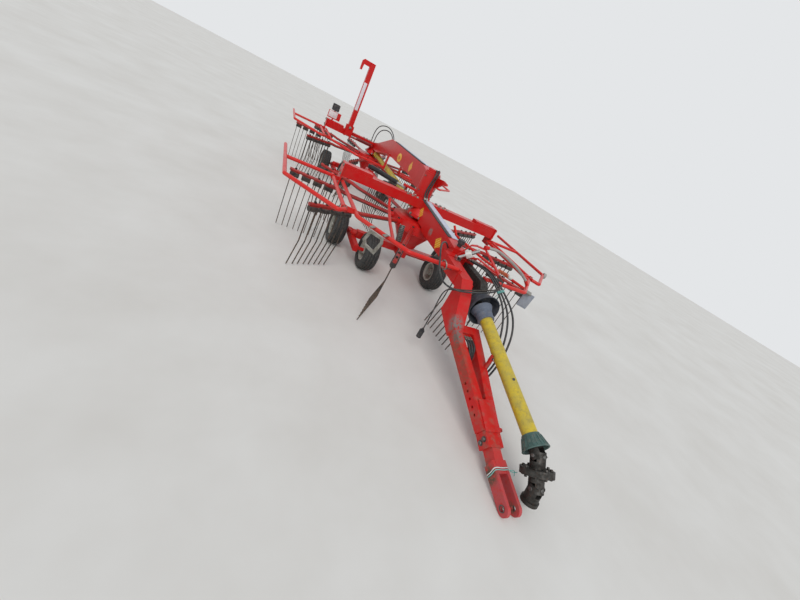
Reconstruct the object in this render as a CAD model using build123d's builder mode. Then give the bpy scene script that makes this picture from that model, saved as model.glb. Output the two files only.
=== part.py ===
from build123d import *
import os
from math import atan, atan2, cos, degrees, hypot, pi, radians, sin, tan

# Trailed rotary rake with two rotors in line, in millimetres.
# +Y points to the rear of the machine, the hitch is at the -Y end, +Z is up.
# The origin lies on the ground under the middle of the whole machine.

# Layout: where the rotor axes and the swing pivot stand
FRONT_X = -60
FRONT_Y = -926.5
ROTOR_SPACING = 3300
REAR_OFFSET = 120
REAR_X = FRONT_X + REAR_OFFSET
REAR_Y = FRONT_Y + ROTOR_SPACING
PIVOT_BACK = 180
PIVOT_Y = FRONT_Y + PIVOT_BACK
FIT = 0.3

# Wheels and the chassis under each rotor
TYRE_RADIUS = 203
TYRE_WIDTH = 165
TYRE_SHOULDER = 34
RIM_RADIUS = 104
RIM_WIDTH = 130
RIM_WALL = 5
RIM_LIP = 9
STUB_RADIUS = 20
WHEEL_HUB_RADIUS = 38
INNER_WHEEL = (436, -156)
OUTER_WHEEL = (740, 300)
ROCKER_X = (INNER_WHEEL[0] + OUTER_WHEEL[0]) / 2
ROCKER_WIDTH = 50
ROCKER_DEPTH = 70
ROCKER_PIN_Y = 115
ROCKER_PIN_Z = 262
ROCKER_PIN_RADIUS = 24
CHASSIS_TUBE = 80
AXLE_RADIUS = 45

# Rotor: hub, arms, coil holders and tines
HUB_RADIUS = 285
HUB_BOTTOM = 375
HUB_TOP = 700
CONE_RADIUS = 120
SOCKET_RADIUS = 33
SOCKET_REACH = 330
ARM_COUNT = 10
ARM_PHASE = 172
ARM_Z = 638
ARM_RADIUS = 21
TINE_TUBE_Z = 648
TINE_TUBE_RADIUS = 16
HOLDERS_PER_ARM = 4
FIRST_HOLDER = 1020
ARM_ELBOW = FIRST_HOLDER - 170
HOLDER_SPACING = 120
TINE_TUBE_END = FIRST_HOLDER + (HOLDERS_PER_ARM - 1) * HOLDER_SPACING + 56
HOLDER_RADIUS = 28
HOLDER_LENGTH = 92
TINE_SPREAD = 32
TINE_SIZE = 8
TINE_KNEE_Z = 300
TINE_TIP_Z = 20
TINE_TRAIL = 60

# Gearbox on top of each axle
GEARBOX_RADIUS = 150
GEARBOX_BOTTOM = 708
CHANNEL_BOTTOM = 830
SHAFT_Z = 778

# Lateral channel over each rotor
CHANNEL_REACH = 990
CHANNEL_DEPTH = 95
CHANNEL_WIDTH = 120
CHANNEL_TOP = CHANNEL_BOTTOM + CHANNEL_DEPTH
RAISED_FROM = CHANNEL_REACH - 310
RAISED_HEIGHT = 30
END_PLATE = 15

# Guard tubes
GUARD_Z = 787
END_PLATE_BOTTOM = GUARD_Z - 52
GUARD_RADIUS = 17
GUARD_BEND = 60
LOOP_HINGE = CHANNEL_REACH + 55
LOOP_SIDE = LOOP_HINGE + 465
LOOP_REAR = 520
LOOP_FRONT = -590
POST_FRONT = -1000
GUARD_FRONT = -1380
GUARD_CORNER = 600

# Front beam, drawbar and hitch
BEAM_WIDTH = 130
BEAM_FRONT = -1050
DRAWBAR_REAR_X = 108
DRAWBAR_FRONT_X = 36
DRAWBAR_REAR = (-1460, 495)
DRAWBAR_FRONT = (-2400, 163)
DRAWBAR_WIDTH = 70
DRAWBAR_DEPTH = 90
RIGHT_BAR_REAR = -1650
NECK_BOTTOM = 672
NECK_DROP = -1448
NECK_LEFT = -145
NECK_RIGHT = -38
TONGUE_FRONT_Y = -2500
LUG_TIP_Y = -2864
LUG_GAP = 70
LUG_THICKNESS = 22
LUG_DEPTH = 84
HITCH_BORE = 16

# Swing pivot over the front rotor
POST_RADIUS = 70
SLEEVE_RADIUS = 95
SLEEVE_BOTTOM = 935
SLEEVE_TOP = 1195
CRANK_THICKNESS = 18
CYLINDER_PIN = 12
SWING_BARREL = (-560, 640)
SWING_EYE = (-190, 270)
SWING_Z = 917
CRANK_Z = SWING_Z + 20 + 0.4 + CRANK_THICKNESS / 2

# Power take-off shaft
PTO_REAR = (FRONT_X + 118, FRONT_Y - 1540, 612)
PTO_FRONT = (FRONT_X + 150, FRONT_Y - 2590, 320)
PTO_SLOPE = (PTO_REAR[2] - PTO_FRONT[2]) / (PTO_REAR[1] - PTO_FRONT[1])
PTO_DRIFT = (PTO_REAR[0] - PTO_FRONT[0]) / (PTO_REAR[1] - PTO_FRONT[1])
BELL_BACK = -1502
BELL_MOUTH = -1604
PTO_GUARD_RADIUS = 50
PTO_CORE_RADIUS = 26
PTO_COLLAR_RADIUS = 84
PTO_COLLAR_LENGTH = 90
PTO_MOUTH_DEPTH = 40
YOKE_RADIUS = 46
YOKE_GAP = 50
YOKE_SLOT = 58
YOKE_EAR = 24
YOKE_PIN_RADIUS = 12
JOINT_DISC_RADIUS = 100
JOINT_DISC_THICKNESS = 38
JOINT_DISC_DROP = (0, -122, -84)
COUPLING_DROP = (0, -25, -94)

# Mast that carried the swath curtain
MAST_X = REAR_X - 590
MAST_Y = REAR_Y - 110
MAST_HINGE_Z = 985
MAST_TOP_Z = 2020
MAST_SIZE = 80
MAST_LEVER = 120
MAST_BARREL_X = REAR_X - 115
MAST_BARREL_Z = 870
LAMP_X = REAR_X - 900
LAMP_Z = 1165
LAMP_HEIGHT = 108

# Cords, as points beside the front rotor's axis: hydraulic hoses, conduit, lead and rope
HOSE_RADIUS = 8
HOSE_1 = [
    (130, -1134.3, 824), (130, -1190, 824), (142, -1266, 846), (172, -1340, 846), (222, -1412, 822),
    (275, -1490, 776), (318, -1590, 726), (335, -1690, 668), (335, -1775, 585), (322, -1835, 490),
    (300, -1880, 390), (270, -1912, 290), (228, -1937, 205), (155, -1948, 150), (80, -1952, 148),
    (20, -1950, 190), (-8, -1935, 265), (-12, -1907, 342), (-20, -1858, 402), (-26, -1797, 424),
    (-26, -1742, 424),
]
HOSE_2 = [
    (100, -1134.3, 824), (100, -1190, 824), (112, -1276, 846), (148, -1350, 845), (200, -1420, 816),
    (252, -1495, 766), (290, -1585, 712), (302, -1675, 650), (298, -1755, 570), (288, -1820, 480),
    (272, -1868, 382), (246, -1900, 290), (205, -1918, 218), (150, -1925, 174), (85, -1928, 170),
    (30, -1925, 207), (8, -1915, 270), (8, -1894, 345), (2, -1856, 404), (0, -1797, 424),
    (0, -1742, 424),
]
HOSE_3 = [
    (70, -1134.3, 824), (70, -1190, 824), (84, -1286, 845), (122, -1358, 846), (172, -1430, 814),
    (228, -1502, 758), (264, -1582, 700), (278, -1660, 630), (274, -1735, 545), (264, -1795, 460),
    (252, -1843, 372), (230, -1880, 290), (194, -1898, 230), (140, -1906, 196), (88, -1904, 198),
    (46, -1898, 228), (28, -1892, 284), (24, -1882, 352), (24, -1852, 410), (26, -1797, 424),
    (26, -1742, 424),
]
CONDUIT_RADIUS = 13
CONDUIT = [
    (132, -1206, 992), (188, -1204, 1000), (252, -1201, 996), (332, -1198, 980), (415, -1195, 958),
    (500, -1192, 931), (585, -1189, 900), (662, -1186, 867), (722, -1184, 836),
]
LEAD_RADIUS = 5
LEAD = [
    (-145.8, -1474, 650), (-194, -1475, 648), (-226, -1478, 612), (-230, -1481, 552), (-223, -1479, 490),
    (-218, -1482, 425), (-213, -1480, 360), (-210, -1482, 298), (-209, -1481, 238),
]
ROPE_RADIUS = 5
ROPE = [
    (-145.8, -1300, 740), (-190, -1301, 739), (-232, -1322, 722), (-258, -1366, 702),
    (-262, -1425, 684), (-240, -1480, 674), (-196, -1526, 680), (-140, -1556, 706),
    (-72, -1578, 738), (0, -1580, 762), (66, -1578, 780), (128, -1566, 796), (184, -1536, 812),
    (225, -1490, 828), (236.7, -1451.7, 843.2), (215.1, -1404.4, 866.8),
]

nodes = {}


def keep(part, name):
    """Label a finished piece and keep it for writing."""
    part.label = name
    nodes[name] = part


def bar_plane(start, end):
    """Plane across a bar at its start, x to the bar's side, and the bar's length."""
    way = Vector(*end) - Vector(*start)
    side = Vector(way.Y, -way.X, 0) if hypot(way.X, way.Y) > 1 else Vector(1, 0, 0)
    return Plane(origin=start, x_dir=side, z_dir=way), way.length


def add_bar(start, end, width, depth):
    """Box bar from start to end in the part that is open."""
    plane, length = bar_plane(start, end)
    with BuildSketch(plane) as section:
        Rectangle(width, depth)
    extrude(section.sketch, amount=length)


def add_rod(start, end, radius):
    """Round bar from start to end in the part that is open."""
    plane, length = bar_plane(start, end)
    with BuildSketch(plane) as section:
        Circle(radius)
    extrude(section.sketch, amount=length)


def add_tube(points, radius, bend):
    """Round tube along straight runs joined by arcs of one radius."""
    with BuildLine() as path:
        FilletPolyline(*points, radius=bend)
    with BuildSketch(path.line ^ 0) as section:
        Circle(radius)
    sweep(section.sketch, path=path.line)


def beside_front(point):
    """Place of a point that is given beside the front rotor's axis."""
    return (FRONT_X + point[0], FRONT_Y + point[1], point[2])


def cord_part(name, route, radius):
    """Cord as a tube of straight runs and arcs, each arc as large as its runs allow."""
    points = [Vector(*beside_front(point)) for point in route]
    radii = []
    for before, here, after in zip(points, points[1:], points[2:]):
        turn = radians((here - before).get_angle(after - here))
        radii.append(0.45 * min((here - before).length, (after - here).length) / tan(turn / 2))
    with BuildPart() as cord:
        with BuildLine() as path:
            FilletPolyline(*points, radius=radii)
        with BuildSketch(path.line ^ 0) as section:
            Circle(radius)
        sweep(section.sketch, path=path.line)
    length = sum(edge.length for edge in path.edges())
    ideal = length * pi * radius ** 2
    print(name, "length", round(length), "smallest radius", round(min(radii)),
          "volume", round(cord.part.volume / ideal, 4))
    keep(cord.part, name)


def add_plate(outline, x_from, x_to):
    """Plate in the YZ plane with a straight-sided outline of (y, z) points."""
    with BuildSketch(Plane.YZ.offset(x_from)) as face:
        with BuildLine():
            Polyline(*outline, close=True)
        make_face()
    extrude(face.sketch, amount=x_to - x_from)


# Tyre and rim, built round the origin with the wheel's axis along X
with BuildPart() as tyre:
    half = TYRE_WIDTH / 2
    bead = RIM_WIDTH / 2 - RIM_LIP + FIT
    with BuildSketch(Plane.XY):
        with BuildLine():
            Polyline(
                (-half + TYRE_SHOULDER, TYRE_RADIUS - 4),
                (-half + 8, TYRE_RADIUS - TYRE_SHOULDER * 0.6),
                (-half, TYRE_RADIUS - 2 * TYRE_SHOULDER),
                (-bead + FIT, RIM_RADIUS + 14),
                (-bead + FIT, RIM_RADIUS + FIT),
                (bead - FIT, RIM_RADIUS + FIT),
                (bead - FIT, RIM_RADIUS + 14),
                (half, TYRE_RADIUS - 2 * TYRE_SHOULDER),
                (half - 8, TYRE_RADIUS - TYRE_SHOULDER * 0.6),
                (half - TYRE_SHOULDER, TYRE_RADIUS - 4),
            )
            ThreePointArc(
                (half - TYRE_SHOULDER, TYRE_RADIUS - 4),
                (0, TYRE_RADIUS),
                (-half + TYRE_SHOULDER, TYRE_RADIUS - 4),
            )
        make_face()
    revolve(axis=Axis.X)

with BuildPart() as rim:
    edge = RIM_WIDTH / 2
    with BuildSketch(Plane.XY):
        with BuildLine():
            Polyline(
                (-edge, RIM_RADIUS + RIM_LIP),
                (-edge + RIM_WALL, RIM_RADIUS + RIM_LIP),
                (-edge + RIM_LIP, RIM_RADIUS),
                (edge - RIM_LIP, RIM_RADIUS),
                (edge - RIM_WALL, RIM_RADIUS + RIM_LIP),
                (edge, RIM_RADIUS + RIM_LIP),
                (edge, RIM_RADIUS - RIM_WALL),
                (RIM_WALL, RIM_RADIUS - 2 * RIM_WALL),
                (RIM_WALL, WHEEL_HUB_RADIUS),
                (edge - RIM_LIP, WHEEL_HUB_RADIUS),
                (edge - RIM_LIP, STUB_RADIUS + FIT),
                (-edge + RIM_LIP, STUB_RADIUS + FIT),
                (-edge + RIM_LIP, WHEEL_HUB_RADIUS),
                (-RIM_WALL, WHEEL_HUB_RADIUS),
                (-RIM_WALL, RIM_RADIUS - 2 * RIM_WALL),
                (-edge, RIM_RADIUS - RIM_WALL),
                close=True,
            )
        make_face()
    revolve(axis=Axis.X)

# Each wheel: name, side of the machine, place beside the rotor axis
WHEEL_PLACES = [
    ("inner_left", -1, INNER_WHEEL),
    ("outer_left", -1, OUTER_WHEEL),
    ("inner_right", 1, INNER_WHEEL),
    ("outer_right", 1, OUTER_WHEEL),
]
for rotor, rotor_x, rotor_y in (("front", FRONT_X, FRONT_Y), ("rear", REAR_X, REAR_Y)):
    for place, side, (out, back) in WHEEL_PLACES:
        spot = Location((rotor_x + side * out, rotor_y + back, TYRE_RADIUS))
        keep(tyre.part.moved(spot), f"{rotor}_tyre_{place}")
        keep(rim.part.moved(spot), f"{rotor}_rim_{place}")


def chassis_part(x, y):
    """Fixed axle with its foot, cross tube and the rocker pins."""
    pin_from = ROCKER_X - ROCKER_WIDTH / 2 - 6
    pin_to = ROCKER_X + ROCKER_WIDTH / 2 + 14
    with BuildPart() as chassis:
        add_bar((x - pin_from, y + ROCKER_PIN_Y, ROCKER_PIN_Z),
                (x + pin_from, y + ROCKER_PIN_Y, ROCKER_PIN_Z), CHASSIS_TUBE, CHASSIS_TUBE)
        add_bar((x, y - AXLE_RADIUS - 10, ROCKER_PIN_Z), (x, y + ROCKER_PIN_Y, ROCKER_PIN_Z),
                CHASSIS_TUBE + 30, CHASSIS_TUBE)
        for side in (-1, 1):
            add_rod((x + side * pin_from, y + ROCKER_PIN_Y, ROCKER_PIN_Z),
                    (x + side * pin_to, y + ROCKER_PIN_Y, ROCKER_PIN_Z), ROCKER_PIN_RADIUS)
        add_rod((x, y, ROCKER_PIN_Z), (x, y, GEARBOX_BOTTOM - FIT), AXLE_RADIUS)
    return chassis.part


def rockers_part(x, y):
    """Both tandem rockers, each with a stub axle inwards in front and outwards behind."""
    stub_end = WHEEL_HUB_RADIUS + 17
    with BuildPart() as rockers:
        for side in (-1, 1):
            mid = x + side * ROCKER_X
            front = y + INNER_WHEEL[1]
            back = y + OUTER_WHEEL[1]
            face = side * ROCKER_WIDTH / 2
            add_bar((mid, front - 30, TYRE_RADIUS), (mid, back + 30, TYRE_RADIUS),
                    ROCKER_WIDTH, ROCKER_DEPTH)
            add_rod((mid - face, y + ROCKER_PIN_Y, ROCKER_PIN_Z),
                    (mid + face, y + ROCKER_PIN_Y, ROCKER_PIN_Z), ROCKER_PIN_RADIUS + 16)
            add_rod((mid, front, TYRE_RADIUS),
                    (x + side * (INNER_WHEEL[0] - stub_end), front, TYRE_RADIUS), STUB_RADIUS)
            add_rod((mid, back, TYRE_RADIUS),
                    (x + side * (OUTER_WHEEL[0] + stub_end), back, TYRE_RADIUS), STUB_RADIUS)
            with Locations((mid, y + ROCKER_PIN_Y, ROCKER_PIN_Z)):
                Cylinder(ROCKER_PIN_RADIUS + FIT, ROCKER_WIDTH + 2, rotation=(0, 90, 0),
                         mode=Mode.SUBTRACT)
    return rockers.part


def hub_part(x, y):
    """Rotor hub with its lower cone and a socket for each arm, free on the axle."""
    with BuildPart() as hub:
        with BuildSketch(Plane.XZ):
            with BuildLine():
                Polyline(
                    (AXLE_RADIUS + FIT, HUB_BOTTOM),
                    (CONE_RADIUS, HUB_BOTTOM),
                    (CONE_RADIUS + 12, HUB_BOTTOM + 50),
                    (HUB_RADIUS - 60, HUB_TOP - 130),
                    (HUB_RADIUS, HUB_TOP - 110),
                    (HUB_RADIUS, HUB_TOP - 12),
                    (HUB_RADIUS - 60, HUB_TOP),
                    (AXLE_RADIUS + FIT, HUB_TOP),
                    close=True,
                )
            make_face()
        revolve(axis=Axis.Z)
        for turn in range(ARM_COUNT):
            angle = radians(ARM_PHASE + turn * 360 / ARM_COUNT)
            out = (cos(angle), sin(angle))
            add_rod((out[0] * (HUB_RADIUS - 20), out[1] * (HUB_RADIUS - 20), ARM_Z),
                    (out[0] * SOCKET_REACH, out[1] * SOCKET_REACH, ARM_Z), SOCKET_RADIUS)
    return hub.part.moved(Location((x, y, 0)))


# One tine arm along +X: tube from the hub, elbow, tine tube, holders and tines
with BuildPart() as arm:
    add_tube([(SOCKET_REACH + FIT, 0, ARM_Z), (ARM_ELBOW, 0, ARM_Z),
              (ARM_ELBOW + 90, 0, TINE_TUBE_Z), (FIRST_HOLDER, 0, TINE_TUBE_Z)],
             ARM_RADIUS, GUARD_BEND)
    add_rod((FIRST_HOLDER - 20, 0, TINE_TUBE_Z), (TINE_TUBE_END, 0, TINE_TUBE_Z), TINE_TUBE_RADIUS)
    holder_z = TINE_TUBE_Z - TINE_TUBE_RADIUS - HOLDER_RADIUS + 6
    for place in range(HOLDERS_PER_ARM):
        middle = FIRST_HOLDER + place * HOLDER_SPACING
        with BuildSketch(Plane.YZ.offset(middle - HOLDER_LENGTH / 2)) as coil:
            with Locations((0, holder_z)):
                RegularPolygon(HOLDER_RADIUS, 8, rotation=22.5)
        extrude(coil.sketch, amount=HOLDER_LENGTH)
        for spread in (-TINE_SPREAD, TINE_SPREAD):
            add_plate([(-TINE_SIZE / 2, holder_z), (TINE_SIZE / 2, holder_z),
                       (TINE_SIZE / 2, TINE_KNEE_Z),
                       (TINE_SIZE / 2 - TINE_TRAIL, TINE_TIP_Z),
                       (-TINE_SIZE / 2 - TINE_TRAIL, TINE_TIP_Z),
                       (-TINE_SIZE / 2, TINE_KNEE_Z)],
                      middle + spread - TINE_SIZE / 2, middle + spread + TINE_SIZE / 2)

with BuildPart() as arms:
    with PolarLocations(0, ARM_COUNT, start_angle=ARM_PHASE):
        add(arm.part)


def gearbox_part(x, y, reach_front, reach_rear):
    """Cast gearbox between axle and channel, with a shaft housing to the front and rear."""
    with BuildPart() as box:
        with BuildSketch(Plane.XZ):
            with BuildLine():
                Polyline(
                    (0, GEARBOX_BOTTOM),
                    (AXLE_RADIUS + 25, GEARBOX_BOTTOM),
                    (GEARBOX_RADIUS, GEARBOX_BOTTOM + 25),
                    (GEARBOX_RADIUS, GEARBOX_BOTTOM + 60),
                    (GEARBOX_RADIUS - 45, CHANNEL_BOTTOM - FIT),
                    (0, CHANNEL_BOTTOM - FIT),
                    close=True,
                )
            make_face()
        revolve(axis=Axis.Z)
        if reach_front:
            add_rod((0, -reach_front, SHAFT_Z), (0, 0, SHAFT_Z), 46)
        if reach_rear:
            add_rod((0, 0, SHAFT_Z), (0, reach_rear, SHAFT_Z), 46)
    return box.part.moved(Location((x, y, 0)))


for rotor, rotor_x, rotor_y in (("front", FRONT_X, FRONT_Y), ("rear", REAR_X, REAR_Y)):
    keep(chassis_part(rotor_x, rotor_y) + rockers_part(rotor_x, rotor_y), f"{rotor}_chassis")
    keep(hub_part(rotor_x, rotor_y), f"{rotor}_hub")
    keep(arms.part.moved(Location((rotor_x, rotor_y, 0))), f"{rotor}_tine_arms")
keep(gearbox_part(FRONT_X, FRONT_Y, 0, 150), "front_gearbox")
keep(gearbox_part(REAR_X, REAR_Y, 250, 0), "rear_gearbox")


def add_channel(x, y, reach_from):
    """Lateral channel on both sides with raised boxes and end plates, in the open part."""
    half = CHANNEL_WIDTH / 2
    for side in (-1, 1):
        for near, far, low, high, wide in (
            (reach_from, CHANNEL_REACH - END_PLATE, CHANNEL_BOTTOM, CHANNEL_TOP, half),
            (RAISED_FROM, CHANNEL_REACH - END_PLATE, CHANNEL_TOP - 20,
             CHANNEL_TOP + RAISED_HEIGHT, half - 6),
            (CHANNEL_REACH - END_PLATE, CHANNEL_REACH, END_PLATE_BOTTOM,
             CHANNEL_TOP + RAISED_HEIGHT, half + 10),
        ):
            with Locations((x + side * (near + far) / 2, y, (low + high) / 2)):
                Box(far - near, 2 * wide, high - low)
        # Ear for the rear end of the folding loop's hinge tube
        with Locations((x + side * (CHANNEL_REACH + 20), y - 40, GUARD_Z)):
            Box(90, 12, 40)
        with Locations((x + side * LOOP_HINGE, y - 40, GUARD_Z)):
            Cylinder(GUARD_RADIUS + 9, 12, rotation=(90, 0, 0))
            Cylinder(GUARD_RADIUS + FIT, 20, rotation=(90, 0, 0), mode=Mode.SUBTRACT)


with BuildPart() as front_channel:
    add_channel(FRONT_X, FRONT_Y, BEAM_WIDTH / 2)
    # Bracket behind the left half for the swing cylinder's barrel
    barrel_x, barrel_y = SWING_BARREL
    with Locations((FRONT_X + barrel_x, FRONT_Y + (barrel_y + 40) / 2, SWING_Z - 52)):
        Box(70, barrel_y + 40, 40)
    with Locations((FRONT_X + barrel_x, FRONT_Y + barrel_y, SWING_Z - 40)):
        Cylinder(CYLINDER_PIN, 68, align=(Align.CENTER, Align.CENTER, Align.MIN))
keep(front_channel.part, "front_channel")

with BuildPart() as rear_channel:
    add_channel(REAR_X, REAR_Y, 0)
    # Carrier plates for the mast hinge, in front of the channel
    for face in (-1, 1):
        with Locations((MAST_X, MAST_Y + face * (MAST_SIZE / 2 + 8 + FIT), 935)):
            Box(130, 16, 170)
    for edge in (-1, 1):
        with Locations((MAST_X + edge * 55, (MAST_Y + REAR_Y) / 2 - 25, 840)):
            Box(20, 160, 20)
    with Locations((MAST_X, MAST_Y, MAST_HINGE_Z)):
        Cylinder(14, MAST_SIZE + 40, rotation=(90, 0, 0))
    # Lug and pin for the mast cylinder's barrel
    with Locations((MAST_BARREL_X, (MAST_Y + 24 + REAR_Y) / 2, MAST_BARREL_Z)):
        Box(60, REAR_Y - MAST_Y - 24, 70)
    with Locations((MAST_BARREL_X, MAST_Y, MAST_BARREL_Z)):
        Cylinder(CYLINDER_PIN, 60, rotation=(90, 0, 0))
    # Post for the lamp and blank panel at the left end
    lamp_foot = LAMP_Z - LAMP_HEIGHT / 2
    with Locations((LAMP_X, REAR_Y - 10, (953 + lamp_foot) / 2)):
        Box(24, 24, lamp_foot - 953)
    with Locations((LAMP_X + 10, REAR_Y - 26, 1040)):
        Box(220, 8, 120)
keep(rear_channel.part, "rear_channel")


def guard_part(x, y, centre_gap):
    """Fixed guard tubes: a post forward from each channel end, then in to the middle."""
    with BuildPart() as guard:
        for side in (-1, 1):
            add_tube([(x + side * (CHANNEL_REACH - 40), y - CHANNEL_WIDTH / 2 - 10, GUARD_Z),
                      (x + side * (CHANNEL_REACH - 40), y + POST_FRONT, GUARD_Z),
                      (x + side * GUARD_CORNER, y + GUARD_FRONT, GUARD_Z),
                      (x + side * centre_gap, y + GUARD_FRONT, GUARD_Z)],
                     GUARD_RADIUS, GUARD_BEND)
            # Ear for the front end of the folding loop's hinge tube
            with Locations((x + side * (LOOP_HINGE - 35), y + POST_FRONT + 100, GUARD_Z)):
                Box(128, 12, 40)
            with Locations((x + side * LOOP_HINGE, y + POST_FRONT + 100, GUARD_Z)):
                Cylinder(GUARD_RADIUS + 9, 12, rotation=(90, 0, 0))
                Cylinder(GUARD_RADIUS + FIT, 20, rotation=(90, 0, 0), mode=Mode.SUBTRACT)
    return guard.part




def guard_slant(share, side, inward):
    """Point at a share of the guard's slanting part, beside the front rotor's axis."""
    run_x = GUARD_CORNER - CHANNEL_REACH + 40
    return (side * (CHANNEL_REACH - 40 + run_x * share - inward),
            POST_FRONT + (GUARD_FRONT - POST_FRONT) * share)


front_guard = guard_part(FRONT_X, FRONT_Y, 148.2)
with BuildPart() as front_supports:
    for side in (-1, 1):
        # Support tube from the channel to the guard's slanting part
        add_tube([beside_front((side * 430, -70, 806)), beside_front((side * 438, -190, 738)),
                  beside_front((side * 560, -700, 740)), beside_front((*guard_slant(0.69, side, 11), GUARD_Z - 9))],
                 14, 50)
    # Socket on the right guard for the conduit
    socket_x, socket_y = guard_slant(0.48, 1, 0)
    add_rod(beside_front((724, -1183.8, 835)), beside_front((socket_x, socket_y, GUARD_Z + 5)), 17)
keep(front_guard + front_supports.part, "front_guard")
keep(guard_part(REAR_X, REAR_Y, 140.3), "rear_guard")


def loop_part(x, y, side):
    """Side guard loop: hinge tube, cross tube, side tube and diagonal front tube."""
    hinge_x = x + side * LOOP_HINGE
    outer_x = x + side * LOOP_SIDE
    with BuildPart() as loop:
        add_tube([(hinge_x, y + POST_FRONT + 60, GUARD_Z), (hinge_x + side * 60, y + POST_FRONT, GUARD_Z),
                  (outer_x, y + LOOP_FRONT, GUARD_Z), (outer_x, y + LOOP_REAR, GUARD_Z)],
                 GUARD_RADIUS, GUARD_BEND / 3)
        add_rod((hinge_x, y, GUARD_Z), (outer_x, y, GUARD_Z), GUARD_RADIUS)
        add_rod((hinge_x, y + POST_FRONT + 60, GUARD_Z), (hinge_x, y + 40, GUARD_Z), GUARD_RADIUS)
    return loop.part


for rotor, rotor_x, rotor_y in (("front", FRONT_X, FRONT_Y), ("rear", REAR_X, REAR_Y)):
    keep(loop_part(rotor_x, rotor_y, -1), f"{rotor}_loop_left")
    keep(loop_part(rotor_x, rotor_y, 1), f"{rotor}_loop_right")

# Front beam in side view, from the drawbar head to the seat of the pivot post
with BuildPart() as front_beam:
    add_plate([(FRONT_Y + 290, CHANNEL_TOP), (FRONT_Y + 60, CHANNEL_TOP),
               (FRONT_Y - 900, 862), (FRONT_Y + BEAM_FRONT, 845),
               (FRONT_Y + BEAM_FRONT, NECK_BOTTOM), (FRONT_Y - 345, NECK_BOTTOM + 6),
               (FRONT_Y - 300, HUB_TOP + 10), (FRONT_Y - 165, HUB_TOP + 10),
               (FRONT_Y - 165, CHANNEL_BOTTOM), (FRONT_Y + 290, CHANNEL_BOTTOM)],
              FRONT_X - BEAM_WIDTH / 2, FRONT_X + BEAM_WIDTH / 2)
    with Locations((FRONT_X, PIVOT_Y, CHANNEL_BOTTOM)):
        Cylinder(100, SLEEVE_BOTTOM - CHANNEL_BOTTOM - FIT,
                 align=(Align.CENTER, Align.CENTER, Align.MIN))
        Cylinder(POST_RADIUS, SLEEVE_TOP - CHANNEL_BOTTOM + 45,
                 align=(Align.CENTER, Align.CENTER, Align.MIN))
    with Locations((FRONT_X, PIVOT_Y, SLEEVE_TOP + FIT)):
        Cylinder(SLEEVE_RADIUS - 8, 16, align=(Align.CENTER, Align.CENTER, Align.MIN))
keep(front_beam.part, "front_beam")

# Valve knob on the beam's front end
with BuildPart() as knob:
    with Locations((FRONT_X + 12, FRONT_Y - 985, 855)):
        Cylinder(22, 30, align=(Align.CENTER, Align.CENTER, Align.MIN))
    with Locations((FRONT_X + 12, FRONT_Y - 985, 884)):
        Cylinder(34, 34, align=(Align.CENTER, Align.CENTER, Align.MIN))
keep(knob.part, "valve_knob")

# Bent flat bracket that carries the hoses, and the bright jack in front of it
BRACKET = [(-60, -1128, 806), (-15, -1180, 955), (20, -1200, 972), (108, -1214, 972),
           (150, -1262, 938), (214, -1402, 868), (60, -1250, 888), (10, -1130, 806)]
with BuildPart() as bracket:
    for start, end in zip(BRACKET, BRACKET[1:]):
        add_bar(beside_front(start), beside_front(end), 34, 10)
    add_rod(beside_front((92, -1207, 986)), beside_front((131.7, -1206, 991.9)), 17)
    with Locations(beside_front((100, -1109, 822))):
        Box(96, 50, 44)
keep(bracket.part, "hose_bracket")
with BuildPart() as jack:
    add_rod(beside_front((-66, -1176, 812)), beside_front((44, -1240, 952)), 15)
    with Locations(beside_front((-66, -1176, 810.2))):
        Box(44, 44, 34)
keep(jack.part, "levelling_jack")

# Drawbar: two converging box beams, cross tube, tongue box and side plate
head_y = FRONT_Y + DRAWBAR_REAR[0]
nose_y = FRONT_Y + DRAWBAR_FRONT[0]
slope = (DRAWBAR_REAR[1] - DRAWBAR_FRONT[1]) / (DRAWBAR_REAR[0] - DRAWBAR_FRONT[0])


def drawbar_z(y):
    """Height of the drawbar's middle line at a place along the machine."""
    return DRAWBAR_FRONT[1] + (y - nose_y) * slope


def drawbar_x(y):
    """Distance of a drawbar bar's middle line from the machine's middle plane."""
    return DRAWBAR_FRONT_X + (y - nose_y) * (DRAWBAR_REAR_X - DRAWBAR_FRONT_X) / (head_y - nose_y)


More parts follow.
